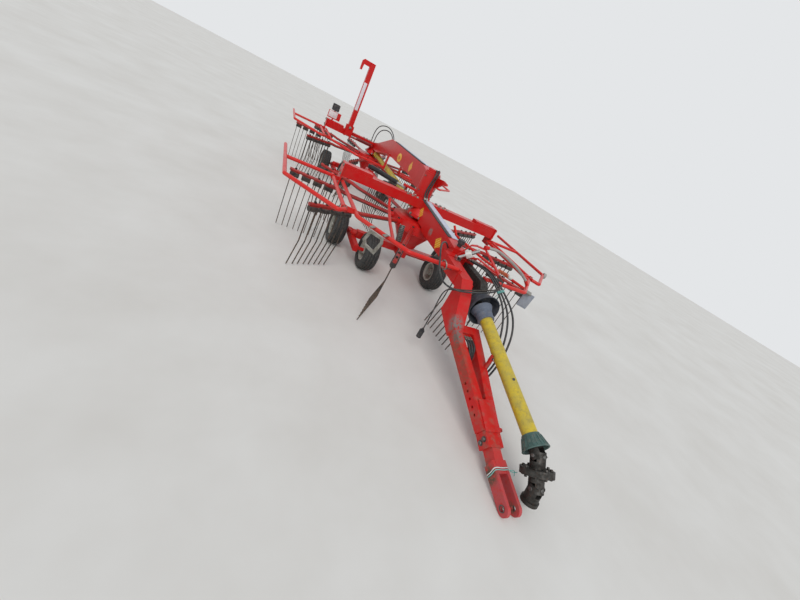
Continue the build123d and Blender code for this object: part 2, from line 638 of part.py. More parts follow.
with BuildPart() as drawbar:
    # Neck on the left: forward over the tine circle, then down to the bars
    low = drawbar_z(head_y - 240) - DRAWBAR_DEPTH / 2
    add_plate([(FRONT_Y + BEAM_FRONT, NECK_BOTTOM), (FRONT_Y + NECK_DROP, NECK_BOTTOM),
               (FRONT_Y + NECK_DROP - 8, drawbar_z(head_y) - DRAWBAR_DEPTH / 2),
               (head_y - 240, low), (head_y - 240, low + DRAWBAR_DEPTH + 8),
               (head_y - 120, 660), (head_y - 20, 770), (FRONT_Y + BEAM_FRONT, 800)],
              FRONT_X + NECK_LEFT, FRONT_X + NECK_RIGHT)
    # Cross head on the beam's front end
    with Locations((FRONT_X, FRONT_Y + BEAM_FRONT - 42, (NECK_BOTTOM + 800) / 2)):
        Box(290, 84, 800 - NECK_BOTTOM)
    for side, rear in ((-1, head_y), (1, FRONT_Y + RIGHT_BAR_REAR)):
        add_bar((FRONT_X + side * drawbar_x(rear), rear, drawbar_z(rear)),
                (FRONT_X + side * DRAWBAR_FRONT_X, nose_y, DRAWBAR_FRONT[1]),
                DRAWBAR_WIDTH, DRAWBAR_DEPTH)
        # Upright for the inner end of the front guard tube
        guard_y = FRONT_Y + GUARD_FRONT
        with Locations((FRONT_X + side * 138, guard_y, 735)):
            Box(20, 60, 126)
    with Locations((FRONT_X + 20, guard_y, 690)):
        Box(256, 60, 32)
    # Row of pin holes in the left bar
    for place in range(5):
        hole_y = FRONT_Y - 2090 - 52 * place
        with Locations((FRONT_X - drawbar_x(hole_y), hole_y, drawbar_z(hole_y) - 4)):
            Cylinder(10, 120, rotation=(0, 90, 0), mode=Mode.SUBTRACT)
    # Hook that carries the parked drive shaft
    hook_y = FRONT_Y - 1985
    hook_z = PTO_REAR[2] + (hook_y - PTO_REAR[1]) * PTO_SLOPE
    hook_z = hook_z - (PTO_GUARD_RADIUS + FIT + 5) / cos(atan(PTO_SLOPE))
    hook_x = PTO_REAR[0] + (hook_y - PTO_REAR[1]) * PTO_DRIFT
    with Locations((hook_x, hook_y, hook_z)):
        Cylinder(5, 126, rotation=(0, 90, 0))
    for edge in (-1, 1):
        with Locations((hook_x + edge * 60, hook_y, hook_z + 20)):
            Box(10, 20, 50)
    with Locations((FRONT_X + 84, hook_y, (hook_z + drawbar_z(hook_y)) / 2)):
        Box(24, 20, hook_z - drawbar_z(hook_y))
    # Couplings for the hoses on the cross box
    for coupling_x in (-26, 0, 26):
        add_rod(beside_front((coupling_x, -1696, 424)), beside_front((coupling_x, -1741.7, 424)), 11)
    # Cross box behind the bars and cross tube between them
    cross_y = FRONT_Y + RIGHT_BAR_REAR - 30
    with Locations(Location((FRONT_X, cross_y, drawbar_z(cross_y)), (degrees(atan(slope)), 0, 0))):
        Box(2 * drawbar_x(cross_y), 70, DRAWBAR_DEPTH)
    cross_y = FRONT_Y - 1830
    add_rod((FRONT_X - 80, cross_y, drawbar_z(cross_y)), (FRONT_X + 80, cross_y, drawbar_z(cross_y)), 22)
    tongue_y = FRONT_Y + TONGUE_FRONT_Y
    add_bar((FRONT_X, nose_y + 120, drawbar_z(nose_y + 120)),
            (FRONT_X, tongue_y, drawbar_z(tongue_y)), 124, DRAWBAR_DEPTH + 6)
keep(drawbar.part, "drawbar")

# Hitch clevis: inner tube out of the tongue box and two lugs with cross holes
with BuildPart() as hitch:
    lug_tip = FRONT_Y + LUG_TIP_Y
    lug_rear = FRONT_Y - 2580
    tip_z = LUG_DEPTH / 2 + 2
    add_bar((FRONT_X, tongue_y - FIT, drawbar_z(tongue_y - FIT)),
            (FRONT_X, lug_rear - 60, drawbar_z(lug_rear - 60)), LUG_GAP - 2, 88)
    for side in (-1, 1):
        near = FRONT_X + side * (LUG_GAP / 2 - 1)
        far = near + side * LUG_THICKNESS
        with BuildSketch(Plane.YZ.offset(min(near, far))) as lug:
            with BuildLine():
                Line((lug_rear, drawbar_z(lug_rear) + 42), (lug_tip + 42, tip_z + 42))
                ThreePointArc((lug_tip + 42, tip_z + 42), (lug_tip, tip_z), (lug_tip + 42, tip_z - 42))
                Polyline((lug_tip + 42, tip_z - 42), (lug_rear, drawbar_z(lug_rear) - 42),
                         (lug_rear, drawbar_z(lug_rear) + 42))
            make_face()
            with Locations((lug_tip + 46, tip_z)):
                Circle(HITCH_BORE, mode=Mode.SUBTRACT)
        extrude(lug.sketch, amount=LUG_THICKNESS)
keep(hitch.part, "hitch_clevis")

# Drive case over the tine circle, and the bell round the shaft's rear joint
with BuildPart() as input_gearbox:
    add_plate([(FRONT_Y + BEAM_FRONT - 84 - FIT, 680), (FRONT_Y + GUARD_FRONT + 31, 680),
               (FRONT_Y + GUARD_FRONT + 31, 707), (FRONT_Y + GUARD_FRONT - 31, 707),
               (FRONT_Y + GUARD_FRONT - 31, 680), (FRONT_Y + NECK_DROP, 680),
               (FRONT_Y + NECK_DROP, 530), (FRONT_Y + BELL_BACK + FIT, 530),
               (FRONT_Y + BELL_BACK + FIT, 740), (FRONT_Y + NECK_DROP, 785),
               (FRONT_Y + BEAM_FRONT - 84 - FIT, 785)],
              FRONT_X + 50, FRONT_X + 126)
    add_rod((PTO_REAR[0], FRONT_Y + BELL_BACK + FIT, PTO_REAR[2]),
            (PTO_REAR[0], PTO_REAR[1] + 29, PTO_REAR[2]), 34)
    for side in (-1, 1):
        with Locations((PTO_REAR[0] + side * 27, PTO_REAR[1] + 8, PTO_REAR[2])):
            Box(10, 44, 36)
    with Locations(PTO_REAR):
        Cylinder(8 + FIT, 90, rotation=(0, 90, 0), mode=Mode.SUBTRACT)
keep(input_gearbox.part, "input_gearbox")

bell_plane, pto_length = bar_plane(PTO_REAR, PTO_FRONT)


def bell_section(y, outer, inner):
    """Ring across the bell's axis at a place along the machine."""
    plane = Plane(origin=(PTO_REAR[0], FRONT_Y + y, PTO_REAR[2]), x_dir=(1, 0, 0), z_dir=(0, -1, 0))
    with BuildSketch(plane) as ring:
        Circle(outer)
        Circle(inner, mode=Mode.SUBTRACT)
    return ring.sketch


with BuildPart() as bell:
    extrude(bell_section(BELL_BACK, 108, 35), amount=6)
    loft([bell_section(BELL_BACK - 6, 108, 103), bell_section(BELL_MOUTH, 135, 130)])
keep(bell.part, "gearbox_bell")


def along_pto(distance):
    """Point on the power take-off shaft's axis, from its rear joint."""
    share = distance / pto_length
    return tuple(a + (b - a) * share for a, b in zip(PTO_REAR, PTO_FRONT))


with BuildPart() as pto_guard:
    add_rod(along_pto(150), along_pto(pto_length - 60), PTO_GUARD_RADIUS)
keep(pto_guard.part, "pto_guard")

with BuildPart() as pto_sleeve:
    add_rod(along_pto(65), along_pto(150), PTO_GUARD_RADIUS + 14)
keep(pto_sleeve.part, "pto_sleeve")

# Flared collar with an open mouth round the front joint
collar_plane = bar_plane(along_pto(pto_length - 60), PTO_FRONT)[0]
with BuildPart() as pto_collar:
    with BuildSketch(collar_plane):
        Circle(PTO_GUARD_RADIUS + 6)
    with BuildSketch(collar_plane.offset(PTO_COLLAR_LENGTH)):
        Circle(PTO_COLLAR_RADIUS)
    loft()
    with BuildSketch(collar_plane.offset(PTO_COLLAR_LENGTH - PTO_MOUTH_DEPTH)):
        Circle(YOKE_RADIUS + 8)
    with BuildSketch(collar_plane.offset(PTO_COLLAR_LENGTH)):
        Circle(PTO_COLLAR_RADIUS - 7)
    loft(mode=Mode.SUBTRACT)
keep(pto_collar.part, "pto_collar")


def yoke_part(start, joint, across):
    """Round yoke from its closed end past a joint's middle, its ears left and right or up and down."""
    way = (Vector(*joint) - Vector(*start)).normalized()
    plane, length = bar_plane(start, tuple(Vector(*joint) + way * YOKE_EAR))
    slot = (YOKE_GAP, 3 * YOKE_RADIUS) if across else (3 * YOKE_RADIUS, YOKE_GAP)
    with BuildPart() as yoke:
        with BuildSketch(plane):
            Circle(YOKE_RADIUS)
        extrude(amount=length)
        with BuildSketch(plane.offset(length - YOKE_SLOT)):
            Rectangle(*slot)
        extrude(amount=YOKE_SLOT, mode=Mode.SUBTRACT)
    return yoke.part


# Wide-angle joint: yoke in the collar, disc with yokes on both sides, coupling towards the tractor
mouth_floor = along_pto(pto_length - 60 + PTO_COLLAR_LENGTH - PTO_MOUTH_DEPTH)
first_joint = Vector(*along_pto(pto_length + 62))
disc_middle = Vector(*PTO_FRONT) + Vector(*JOINT_DISC_DROP)
second_joint = disc_middle * 2 - first_joint
coupling_end = second_joint + Vector(*COUPLING_DROP)
disc_way = (disc_middle - first_joint).normalized()
with BuildPart() as pto_yokes:
    add(yoke_part(mouth_floor, tuple(first_joint), True))
    add(yoke_part(tuple(disc_middle), tuple(first_joint), False))
    add(yoke_part(tuple(disc_middle), tuple(second_joint), False))
    add(yoke_part(tuple(coupling_end), tuple(second_joint), True))
    for joint in (first_joint, second_joint):
        for pin in (Vector(YOKE_RADIUS - 2, 0, 0), disc_way.cross(Vector(1, 0, 0)) * (YOKE_RADIUS - 2)):
            add_rod(tuple(joint - pin), tuple(joint + pin), YOKE_PIN_RADIUS)
    add_rod(tuple(disc_middle - disc_way * JOINT_DISC_THICKNESS / 2),
            tuple(disc_middle + disc_way * JOINT_DISC_THICKNESS / 2), JOINT_DISC_RADIUS)
    # Locking ring and splined bore of the coupling
    coupling_way = (second_joint - coupling_end).normalized()
    add_rod(tuple(coupling_end), tuple(coupling_end + coupling_way * 24), YOKE_RADIUS + 8)
    plane, length = bar_plane(tuple(coupling_end), tuple(second_joint))
    with BuildSketch(plane):
        Circle(18)
    extrude(amount=40, mode=Mode.SUBTRACT)
    add_rod(along_pto(-16), along_pto(65 - FIT), 20)
    with Locations(PTO_REAR):
        Cylinder(8, 66, rotation=(0, 90, 0))
keep(pto_yokes.part, "pto_yokes")

# Rear beam: sleeve on the pivot post, arch over the front rotor, foot on the rear channel
beam_turn = -degrees(atan2(REAR_OFFSET, ROTOR_SPACING - PIVOT_BACK))
beam_seat = REAR_Y - CHANNEL_WIDTH / 2
beam_run = ROTOR_SPACING - PIVOT_BACK
with BuildPart() as straight_beam:
    add_plate([(0, SLEEVE_TOP), (110, SLEEVE_TOP), (240, SLEEVE_TOP + 17),
               (beam_run - 1150, SLEEVE_TOP), (beam_run - 360, CHANNEL_TOP + 60),
               (beam_run + 10, CHANNEL_TOP), (beam_run + 10, CHANNEL_BOTTOM + 5),
               (beam_run - 400, CHANNEL_BOTTOM + 5), (beam_run - 1250, SLEEVE_TOP - 210),
               (520, SLEEVE_TOP - 195), (240, SLEEVE_TOP - 230), (0, SLEEVE_TOP - 230)],
              -BEAM_WIDTH / 2, BEAM_WIDTH / 2)
with BuildPart() as rear_beam:
    add(straight_beam.part.moved(Location((FRONT_X, PIVOT_Y, 0), (0, 0, beam_turn))))
    with Locations((FRONT_X, beam_seat + 500, 900)):
        Box(2000, 1000, 800, mode=Mode.SUBTRACT)
    with Locations((FRONT_X, PIVOT_Y, SLEEVE_BOTTOM)):
        Cylinder(SLEEVE_RADIUS, SLEEVE_TOP - SLEEVE_BOTTOM,
                 align=(Align.CENTER, Align.CENTER, Align.MIN))
    # Crank on the sleeve's left for the swing cylinder's rod eye
    add_bar((FRONT_X, PIVOT_Y, CRANK_Z), (FRONT_X + SWING_EYE[0] - 30, FRONT_Y + SWING_EYE[1] + 14, CRANK_Z),
            80, CRANK_THICKNESS)
    # Uprights for the inner ends of the rear guard tubes
    for side in (-1, 1):
        with Locations((REAR_X + side * 130, REAR_Y + GUARD_FRONT, 890)):
            Box(20, 60, 240)
    with Locations((REAR_X, REAR_Y + GUARD_FRONT, 1000)):
        Box(280, 60, 20)
    # Fin that points forward from the sleeve
    add_plate([(FRONT_Y + 120, 1050), (FRONT_Y + 120, 1180), (FRONT_Y - 60, 1200),
               (FRONT_Y - 150, 1192), (FRONT_Y - 160, 1172), (FRONT_Y - 60, 1152),
               (FRONT_Y + 40, 1090)], FRONT_X + 42, FRONT_X + 58)
    with Locations((FRONT_X, PIVOT_Y, SLEEVE_BOTTOM)):
        Cylinder(POST_RADIUS + FIT, SLEEVE_TOP - SLEEVE_BOTTOM + 60,
                 align=(Align.CENTER, Align.CENTER, Align.MIN), mode=Mode.SUBTRACT)
keep(rear_beam.part, "rear_beam")

# Swing cylinder: barrel on the channel's bracket, rod to the crank
swing_length = hypot(SWING_EYE[0] - SWING_BARREL[0], SWING_EYE[1] - SWING_BARREL[1])
swing_turn = degrees(atan2(SWING_EYE[1] - SWING_BARREL[1], SWING_EYE[0] - SWING_BARREL[0]))
swing_home = Location((FRONT_X + SWING_BARREL[0], FRONT_Y + SWING_BARREL[1], SWING_Z), (0, 0, swing_turn))


def cylinder_parts(bore_end, barrel_end, eye_at, bore, rod):
    """Barrel with its eye at the origin and rod with its eye further along +X."""
    with BuildPart() as barrel:
        Cylinder(26, 40)
        add_rod((15, 0, 0), (barrel_end, 0, 0), bore + 8)
        with Locations(((barrel_end + 1 + bore_end) / 2, 0, 0)):
            Cylinder(rod + FIT, barrel_end + 1 - bore_end, rotation=(0, 90, 0), mode=Mode.SUBTRACT)
        Cylinder(CYLINDER_PIN + FIT, 60, mode=Mode.SUBTRACT)
    with BuildPart() as piston:
        add_rod((barrel_end - 110, 0, 0), (eye_at - 15, 0, 0), rod)
        with Locations((eye_at, 0, 0)):
            Cylinder(24, 40)
    return barrel.part, piston.part


swing_barrel, swing_rod = cylinder_parts(150, 400, swing_length, 20, 14)
keep(swing_barrel.moved(swing_home), "swing_barrel")
keep(swing_rod.moved(swing_home), "swing_rod")

# Drive shaft from the joint under the pivot back to the rear gearbox, in its guard
drive_front = (FRONT_X, PIVOT_Y, SHAFT_Z)
drive_plane, drive_length = bar_plane(drive_front, (REAR_X, REAR_Y - 252.4, SHAFT_Z))


def drive_ring(distance, radius):
    """Disc across the drive shaft at a distance from the pivot."""
    with BuildSketch(drive_plane.offset(distance)) as disc:
        Circle(radius)
    return disc.sketch


with BuildPart() as drive_joint:
    extrude(drive_ring(-15, 24), amount=155)
    extrude(drive_ring(60, 36), amount=80)
keep(drive_joint.part, "rear_drive_joint")
with BuildPart() as rear_drive:
    loft([drive_ring(140, 54), drive_ring(240, 40)])
    extrude(drive_ring(240, 38), amount=drive_length - 240 - 120)
    loft([drive_ring(drive_length - 120, 40), drive_ring(drive_length, 54)])
keep(rear_drive.part, "rear_drive_shaft")

# Mast: lever below the hinge, box tube above it and a hooked head
with BuildPart() as mast:
    with Locations((MAST_X, MAST_Y, (MAST_HINGE_Z + MAST_TOP_Z) / 2)):
        Box(MAST_SIZE, MAST_SIZE, MAST_TOP_Z - MAST_HINGE_Z)
    with Locations((MAST_X, MAST_Y, MAST_HINGE_Z)):
        Cylinder(30, MAST_SIZE, rotation=(90, 0, 0))
    with Locations((MAST_X, MAST_Y + 20 + 0.4 + 9, MAST_HINGE_Z - MAST_LEVER / 2 - 10)):
        Box(50, 18, MAST_LEVER)
    with BuildSketch(Plane.XZ.offset(-MAST_Y - 25)) as head:
        with BuildLine():
            Polyline((MAST_X, MAST_TOP_Z - 70), (MAST_X, MAST_TOP_Z), (MAST_X - 150, MAST_TOP_Z),
                     (MAST_X - 178, MAST_TOP_Z - 30), (MAST_X - 178, MAST_TOP_Z - 160),
                     (MAST_X - 148, MAST_TOP_Z - 160), (MAST_X - 138, MAST_TOP_Z - 70), close=True)
        make_face()
    extrude(head.sketch, amount=50)
    with Locations((MAST_X, MAST_Y, MAST_HINGE_Z)):
        Cylinder(14 + FIT, MAST_SIZE + 40, rotation=(90, 0, 0), mode=Mode.SUBTRACT)
keep(mast.part, "mast")

# Mast cylinder along the front of the channel
mast_eye = (MAST_X - MAST_BARREL_X, MAST_HINGE_Z - MAST_LEVER - MAST_BARREL_Z)
mast_reach = hypot(*mast_eye)
mast_turn = Location((MAST_BARREL_X, MAST_Y, MAST_BARREL_Z), (90, 0, 0))
mast_turn = mast_turn * Location((0, 0, 0), (0, 0, degrees(atan2(mast_eye[1], mast_eye[0]))))
mast_barrel, mast_rod = cylinder_parts(85, 300, mast_reach, 16, 11)
keep(mast_barrel.moved(mast_turn), "mast_barrel")
keep(mast_rod.moved(mast_turn), "mast_rod")

# Lamp on its post on the rear channel's left end
with BuildPart() as lamp:
    with Locations((LAMP_X, REAR_Y - 10, LAMP_Z)):
        Box(120, 62, LAMP_HEIGHT)
    fillet(lamp.edges().filter_by(Axis.Y), 14)
keep(lamp.part, "lamp")

cord_part("hose_1", HOSE_1, HOSE_RADIUS)
cord_part("hose_2", HOSE_2, HOSE_RADIUS)
cord_part("hose_3", HOSE_3, HOSE_RADIUS)
cord_part("conduit", CONDUIT, CONDUIT_RADIUS)
cord_part("light_lead", LEAD, LEAD_RADIUS)
cord_part("rope", ROPE, ROPE_RADIUS)
# Plug on the end of the lead
lead_end = Vector(*beside_front(LEAD[-1]))
lead_way = (lead_end - Vector(*beside_front(LEAD[-2]))).normalized()
with BuildPart() as plug:
    add_rod(tuple(lead_end + lead_way * 0.3), tuple(lead_end + lead_way * 18), 12)
    add_rod(tuple(lead_end + lead_way * 16), tuple(lead_end + lead_way * 88), 22)
keep(plug.part, "lead_plug")

os.makedirs("parts", exist_ok=True)
for name, part in nodes.items():
    export_step(part, f"parts/{name}.step")
whole = Compound(children=list(nodes.values())).bounding_box()
print("low", whole.min, "high", whole.max, "middle", whole.center())
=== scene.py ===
"""Looks of a trailed rotary rake with two rotors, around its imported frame."""

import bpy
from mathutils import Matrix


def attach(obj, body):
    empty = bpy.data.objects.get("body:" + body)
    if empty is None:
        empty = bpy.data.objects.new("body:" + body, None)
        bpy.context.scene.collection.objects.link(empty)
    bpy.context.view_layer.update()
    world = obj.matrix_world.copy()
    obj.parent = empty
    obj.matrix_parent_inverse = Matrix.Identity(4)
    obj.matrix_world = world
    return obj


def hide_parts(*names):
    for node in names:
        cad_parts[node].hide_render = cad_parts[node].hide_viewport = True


bl_info = {
    "name": "Rotary rake looks",
    "version": (1, 0, 0),
    "blender": (4, 5, 0),
    "location": "3D View > Sidebar > Rake",
    "description": "Dresses the frame of a trailed rotary rake with paint, tyres, hoses and fittings",
    "category": "Object",
}

from math import atan, cos, radians, sin, tau

import bpy
from mathutils import Matrix, Vector

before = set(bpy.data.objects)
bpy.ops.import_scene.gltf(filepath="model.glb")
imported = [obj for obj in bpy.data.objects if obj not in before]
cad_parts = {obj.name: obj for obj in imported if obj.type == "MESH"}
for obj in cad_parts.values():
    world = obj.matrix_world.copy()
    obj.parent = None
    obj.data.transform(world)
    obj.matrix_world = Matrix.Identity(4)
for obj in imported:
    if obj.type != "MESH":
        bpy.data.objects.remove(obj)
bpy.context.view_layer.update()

# Places in metres: both rotor axes, the swing pivot and the machine's main heights
FRONT = Vector((-0.060, -0.9265, 0.0))
REAR = Vector((0.060, 2.3735, 0.0))
PIVOT = Vector((-0.060, -0.7465, 0.0))
WHEEL_PLACES = {
    "inner_left": (-0.436, -0.156),
    "outer_left": (-0.740, 0.300),
    "inner_right": (0.436, -0.156),
    "outer_right": (0.740, 0.300),
}
TYRE_RADIUS = 0.203
TREAD_ROUNDING = 0.9
GUARD_Z = 0.787
PTO_REAR = FRONT + Vector((0.118, -1.540, 0.612))
PTO_FRONT = FRONT + Vector((0.150, -2.590, 0.320))
# Middle lines of drawbar and tongue: one point of each beside the front axis, and its slope
DRAWBAR_Y, DRAWBAR_Z, DRAWBAR_RISE = -2.400, 0.163, 0.3532
HITCH_Y, HITCH_Z, TONGUE_RISE = -2.818, 0.044, 0.242
ROTORS = (("front", FRONT), ("rear", REAR))

# Fittings that repeat: nuts on a rim, ribs round the collar, arms of a rotor with four holders each
NUT_COUNT = 5
FIRST_NUT = 0.4
NUT_CIRCLE = 0.062
RIM_DISC_HALF = 0.0052
ARM_COUNT = 10
FIRST_ARM = radians(172)
HOLDER_COUNT = 4
HOLDER_START = 1.020
HOLDER_STEP = 0.120
COLLAR_RIBS = 20
COLLAR_FLARE = 0.302

# The rear beam runs a little to the right of straight back
BEAM_TURN = radians(2.2)

# Grime that several finishes share, and the unit of their relief
MILLIMETRE = 0.001
PALE_SOIL = "#7C6C5C"
RUSTY_CHIP = "#4E342B"

# The photograph's camera: focal length and width in pixels, its place and its turns
PHOTO_FOCAL = 344.274
PHOTO_WIDTH = 800
PHOTO_PLACE = (-1.761, -4.4625, 1.555)
PHOTO_YAW = radians(29.613)
PHOTO_PITCH = radians(25.251)
PHOTO_ROLL = radians(28.966)

# Routes of hoses and lines beside the front rotor's axis, in millimetres
HOSE_ROUTES = {
    "hose_1": [
        (130, -1134.3, 824), (130, -1190, 824), (142, -1266, 846), (172, -1340, 846), (222, -1412, 822),
        (275, -1490, 776), (318, -1590, 726), (335, -1690, 668), (335, -1775, 585), (322, -1835, 490),
        (300, -1880, 390), (270, -1912, 290), (228, -1937, 205), (155, -1948, 150), (80, -1952, 148),
        (20, -1950, 190), (-8, -1935, 265), (-12, -1907, 342), (-20, -1858, 402), (-26, -1797, 424),
        (-26, -1742, 424),
    ],
    "hose_2": [
        (100, -1134.3, 824), (100, -1190, 824), (112, -1276, 846), (148, -1350, 845), (200, -1420, 816),
        (252, -1495, 766), (290, -1585, 712), (302, -1675, 650), (298, -1755, 570), (288, -1820, 480),
        (272, -1868, 382), (246, -1900, 290), (205, -1918, 218), (150, -1925, 174), (85, -1928, 170),
        (30, -1925, 207), (8, -1915, 270), (8, -1894, 345), (2, -1856, 404), (0, -1797, 424),
        (0, -1742, 424),
    ],
    "hose_3": [
        (70, -1134.3, 824), (70, -1190, 824), (84, -1286, 845), (122, -1358, 846), (172, -1430, 814),
        (228, -1502, 758), (264, -1582, 700), (278, -1660, 630), (274, -1735, 545), (264, -1795, 460),
        (252, -1843, 372), (230, -1880, 290), (194, -1898, 230), (140, -1906, 196), (88, -1904, 198),
        (46, -1898, 228), (28, -1892, 284), (24, -1882, 352), (24, -1852, 410), (26, -1797, 424),
        (26, -1742, 424),
    ],
    "conduit": [
        (132, -1206, 992), (188, -1204, 1000), (252, -1201, 996), (332, -1198, 980), (415, -1195, 958),
        (500, -1192, 931), (585, -1189, 900), (662, -1186, 867), (722, -1184, 836),
    ],
    "light_lead": [
        (-145.8, -1474, 650), (-194, -1475, 648), (-226, -1478, 612), (-230, -1481, 552), (-223, -1479, 490),
        (-218, -1482, 425), (-213, -1480, 360), (-210, -1482, 298), (-209, -1481, 238),
    ],
    "rope": [
        (-145.8, -1300, 740), (-190, -1301, 739), (-232, -1322, 722), (-258, -1366, 702),
        (-262, -1425, 684), (-240, -1480, 674), (-196, -1526, 680), (-140, -1556, 706),
        (-72, -1578, 738), (0, -1580, 762), (66, -1578, 780), (128, -1566, 796), (184, -1536, 812),
        (225, -1490, 828), (236.7, -1451.7, 843.2), (215.1, -1404.4, 866.8),
    ],
    # Lines that only the scene has: a loop left of the neck, two over the swing post, two over the arch
    "neck_hose": [
        (-66, -960, 800), (-128, -1015, 846), (-212, -1105, 884), (-298, -1215, 892), (-352, -1330, 880),
        (-374, -1422, 842), (-368, -1480, 778), (-328, -1522, 716), (-262, -1556, 694), (-184, -1585, 702),
        (-110, -1602, 724), (-36, -1610, 748), (36, -1608, 768), (104, -1590, 786), (160, -1556, 798),
        (206, -1514, 804), (236, -1470, 806),
    ],
    "swing_hose_1": [
        (22, 150, 1211.5), (21, 128, 1246), (17, 84, 1252), (8, 56, 1206), (0, 52, 1142), (-8, 52, 1074),
        (-10, 51, 1006), (-2, 42, 954), (8, 18, 925.5),
    ],
    "swing_hose_2": [
        (-4, 156, 1211.5), (-5, 132, 1240), (-8, 86, 1244), (-16, 57, 1200), (-25, 52, 1136), (-34, 53, 1068),
        (-37, 52, 1000), (-30, 40, 950), (-20, 14, 925.5),
    ],
    "arch_hose_1": [
        (0, 3300, 925.5), (-2, 3302, 985), (-4, 3300, 1062), (2, 3280, 1150), (20, 3215, 1225),
        (50, 3095, 1268), (84, 2950, 1290), (108, 2790, 1284), (118, 2630, 1252), (116, 2480, 1214),
        (104, 2370, 1182), (92, 2300, 1156),
    ],
    "arch_hose_2": [
        (46, 3285, 925.5), (47, 3286, 982), (47, 3276, 1050), (54, 3240, 1122), (72, 3165, 1182),
        (95, 3060, 1218), (118, 2930, 1234), (134, 2790, 1228), (138, 2650, 1202), (130, 2540, 1170),
        (108, 2400, 1129),
    ],
}
# Size and kind of each line: diameter, length, far end, stiffness
LINE_FACTS = {
    "hose_1": (0.016, 1.785, "object", "stiff"),
    "hose_2": (0.016, 1.686, "object", "stiff"),
    "hose_3": (0.016, 1.591, "object", "stiff"),
    "conduit": (0.026, 0.619, "object", "stiff"),
    "light_lead": (0.010, 0.468, "plug", "medium"),
    "rope": (0.010, 0.914, "object", "limp"),
    "neck_hose": (0.014, 1.400, "object", "stiff"),
    "swing_hose_1": (0.018, 0.421, "object", "stiff"),
    "swing_hose_2": (0.018, 0.416, "object", "stiff"),
    "arch_hose_1": (0.016, 1.274, "object", "stiff"),
    "arch_hose_2": (0.016, 1.091, "object", "stiff"),
}


# Selecting, shaping and setting down


def let_go():
    """Leaves nothing selected, so that an operator acts only on the next piece."""
    if bpy.context.object and bpy.context.object.mode != "OBJECT":
        bpy.ops.object.mode_set(mode="OBJECT")
    bpy.ops.object.select_all(action="DESELECT")


def take(*pieces):
    """Selects these pieces alone, the last one active."""
    let_go()
    for piece in pieces:
        piece.select_set(True)
    bpy.context.view_layer.objects.active = pieces[-1]
    return pieces[-1]


def standing(at, way):
    """Transform that sets a piece made along Z at its place, pointing this way."""
    return Matrix.Translation(Vector(at)) @ Vector(way).to_track_quat("Z", "Y").to_matrix().to_4x4()


def outward(angle):
    """Level direction at this angle round an upright axis."""
    return Vector((cos(angle), sin(angle), 0))


def block(size, at, turn=(0, 0, 0), edge=0.003, segments=2):
    """Rectangular piece with rolled edges, at its place."""
    let_go()
    bpy.ops.mesh.primitive_cube_add(size=1, location=at, rotation=turn)
    piece = bpy.context.object
    piece.scale = size
    bpy.ops.object.transform_apply(location=False, rotation=False, scale=True)
    if edge:
        bpy.ops.object.mode_set(mode="EDIT")
        bpy.ops.mesh.select_all(action="SELECT")
        bpy.ops.mesh.bevel(offset=edge, segments=segments, affect="EDGES")
        bpy.ops.object.mode_set(mode="OBJECT")
    bpy.ops.object.transform_apply(location=True, rotation=True, scale=True)
    return piece


def window_plate(corners, rim, thickness):
    """Flat plate through the corners with a window that leaves a rim of this width."""
    let_go()
    bpy.ops.mesh.primitive_circle_add(vertices=len(corners), fill_type="NGON")
    piece = bpy.context.object
    for vertex, corner in zip(piece.data.vertices, corners):
        vertex.co = corner
    piece.location = (0, 0, 0)
    bpy.ops.object.mode_set(mode="EDIT")
    bpy.ops.mesh.select_all(action="SELECT")
    bpy.ops.mesh.inset(thickness=rim)
    bpy.ops.mesh.delete(type="ONLY_FACE")
    bpy.ops.object.mode_set(mode="OBJECT")
    wall = piece.modifiers.new("wall", "SOLIDIFY")
    wall.thickness = thickness
    wall.offset = 0
    rolled = piece.modifiers.new("rolled", "BEVEL")
    rolled.width = thickness * 0.2
    bpy.ops.object.modifier_apply(modifier="wall")
    bpy.ops.object.modifier_apply(modifier="rolled")
    return piece


def turned(steps, at=(0, 0, 0), way=(0, 0, 1), sides=32, open_ends=False, close=False):
    """Round piece drawn out of a circle through steps of distance and radius along its axis."""
    let_go()
    fill = "NOTHING" if open_ends else "NGON"
    distance, radius = steps[0]
    bpy.ops.mesh.primitive_circle_add(vertices=sides, radius=radius, fill_type=fill,
                                      location=(0, 0, distance))
    piece = bpy.context.object
    bpy.ops.object.mode_set(mode="EDIT")
    bpy.ops.mesh.select_all(action="SELECT")
    for (near, inner), (far, outer) in zip(steps, steps[1:]):
        bpy.ops.mesh.extrude_region_move(TRANSFORM_OT_translate={"value": (0, 0, far - near)})
        share = outer / inner
        bpy.ops.transform.resize(value=(share, share, 1), center_override=(0, 0, far))
    bpy.ops.mesh.select_all(action="SELECT")
    if close:
        bpy.ops.mesh.remove_doubles(threshold=0.00002)
    bpy.ops.mesh.normals_make_consistent(inside=False)
    bpy.ops.object.mode_set(mode="OBJECT")
    bpy.ops.object.transform_apply(location=True, rotation=True, scale=True)
    piece.data.transform(standing(at, way))
    piece.data.update()
    return piece


def round_line(name, points, radius, steps, sides, closed=False):
    """Smooth round curve through points, in this many steps and sides."""
    curve = bpy.data.curves.new(name, "CURVE")
    curve.dimensions = "3D"
    spline = curve.splines.new("NURBS")
    spline.points.add(len(points) - 1)
    for place, point in zip(spline.points, points):
        place.co = (*point, 1)
    spline.order_u = 3
    spline.use_cyclic_u = closed
    spline.use_endpoint_u = not closed
    curve.resolution_u = steps
    curve.bevel_depth = radius
    curve.bevel_resolution = sides
    curve.use_fill_caps = not closed
    line = bpy.data.objects.new(name, curve)
    bpy.context.scene.collection.objects.link(line)
    return line


def pipe(points, radius, closed=False, sides=3):
    """Stiff round line through points, as a mesh."""
    take(round_line("pipe", points, radius, 6, sides, closed))
    bpy.ops.object.convert(target="MESH")
    return bpy.context.object


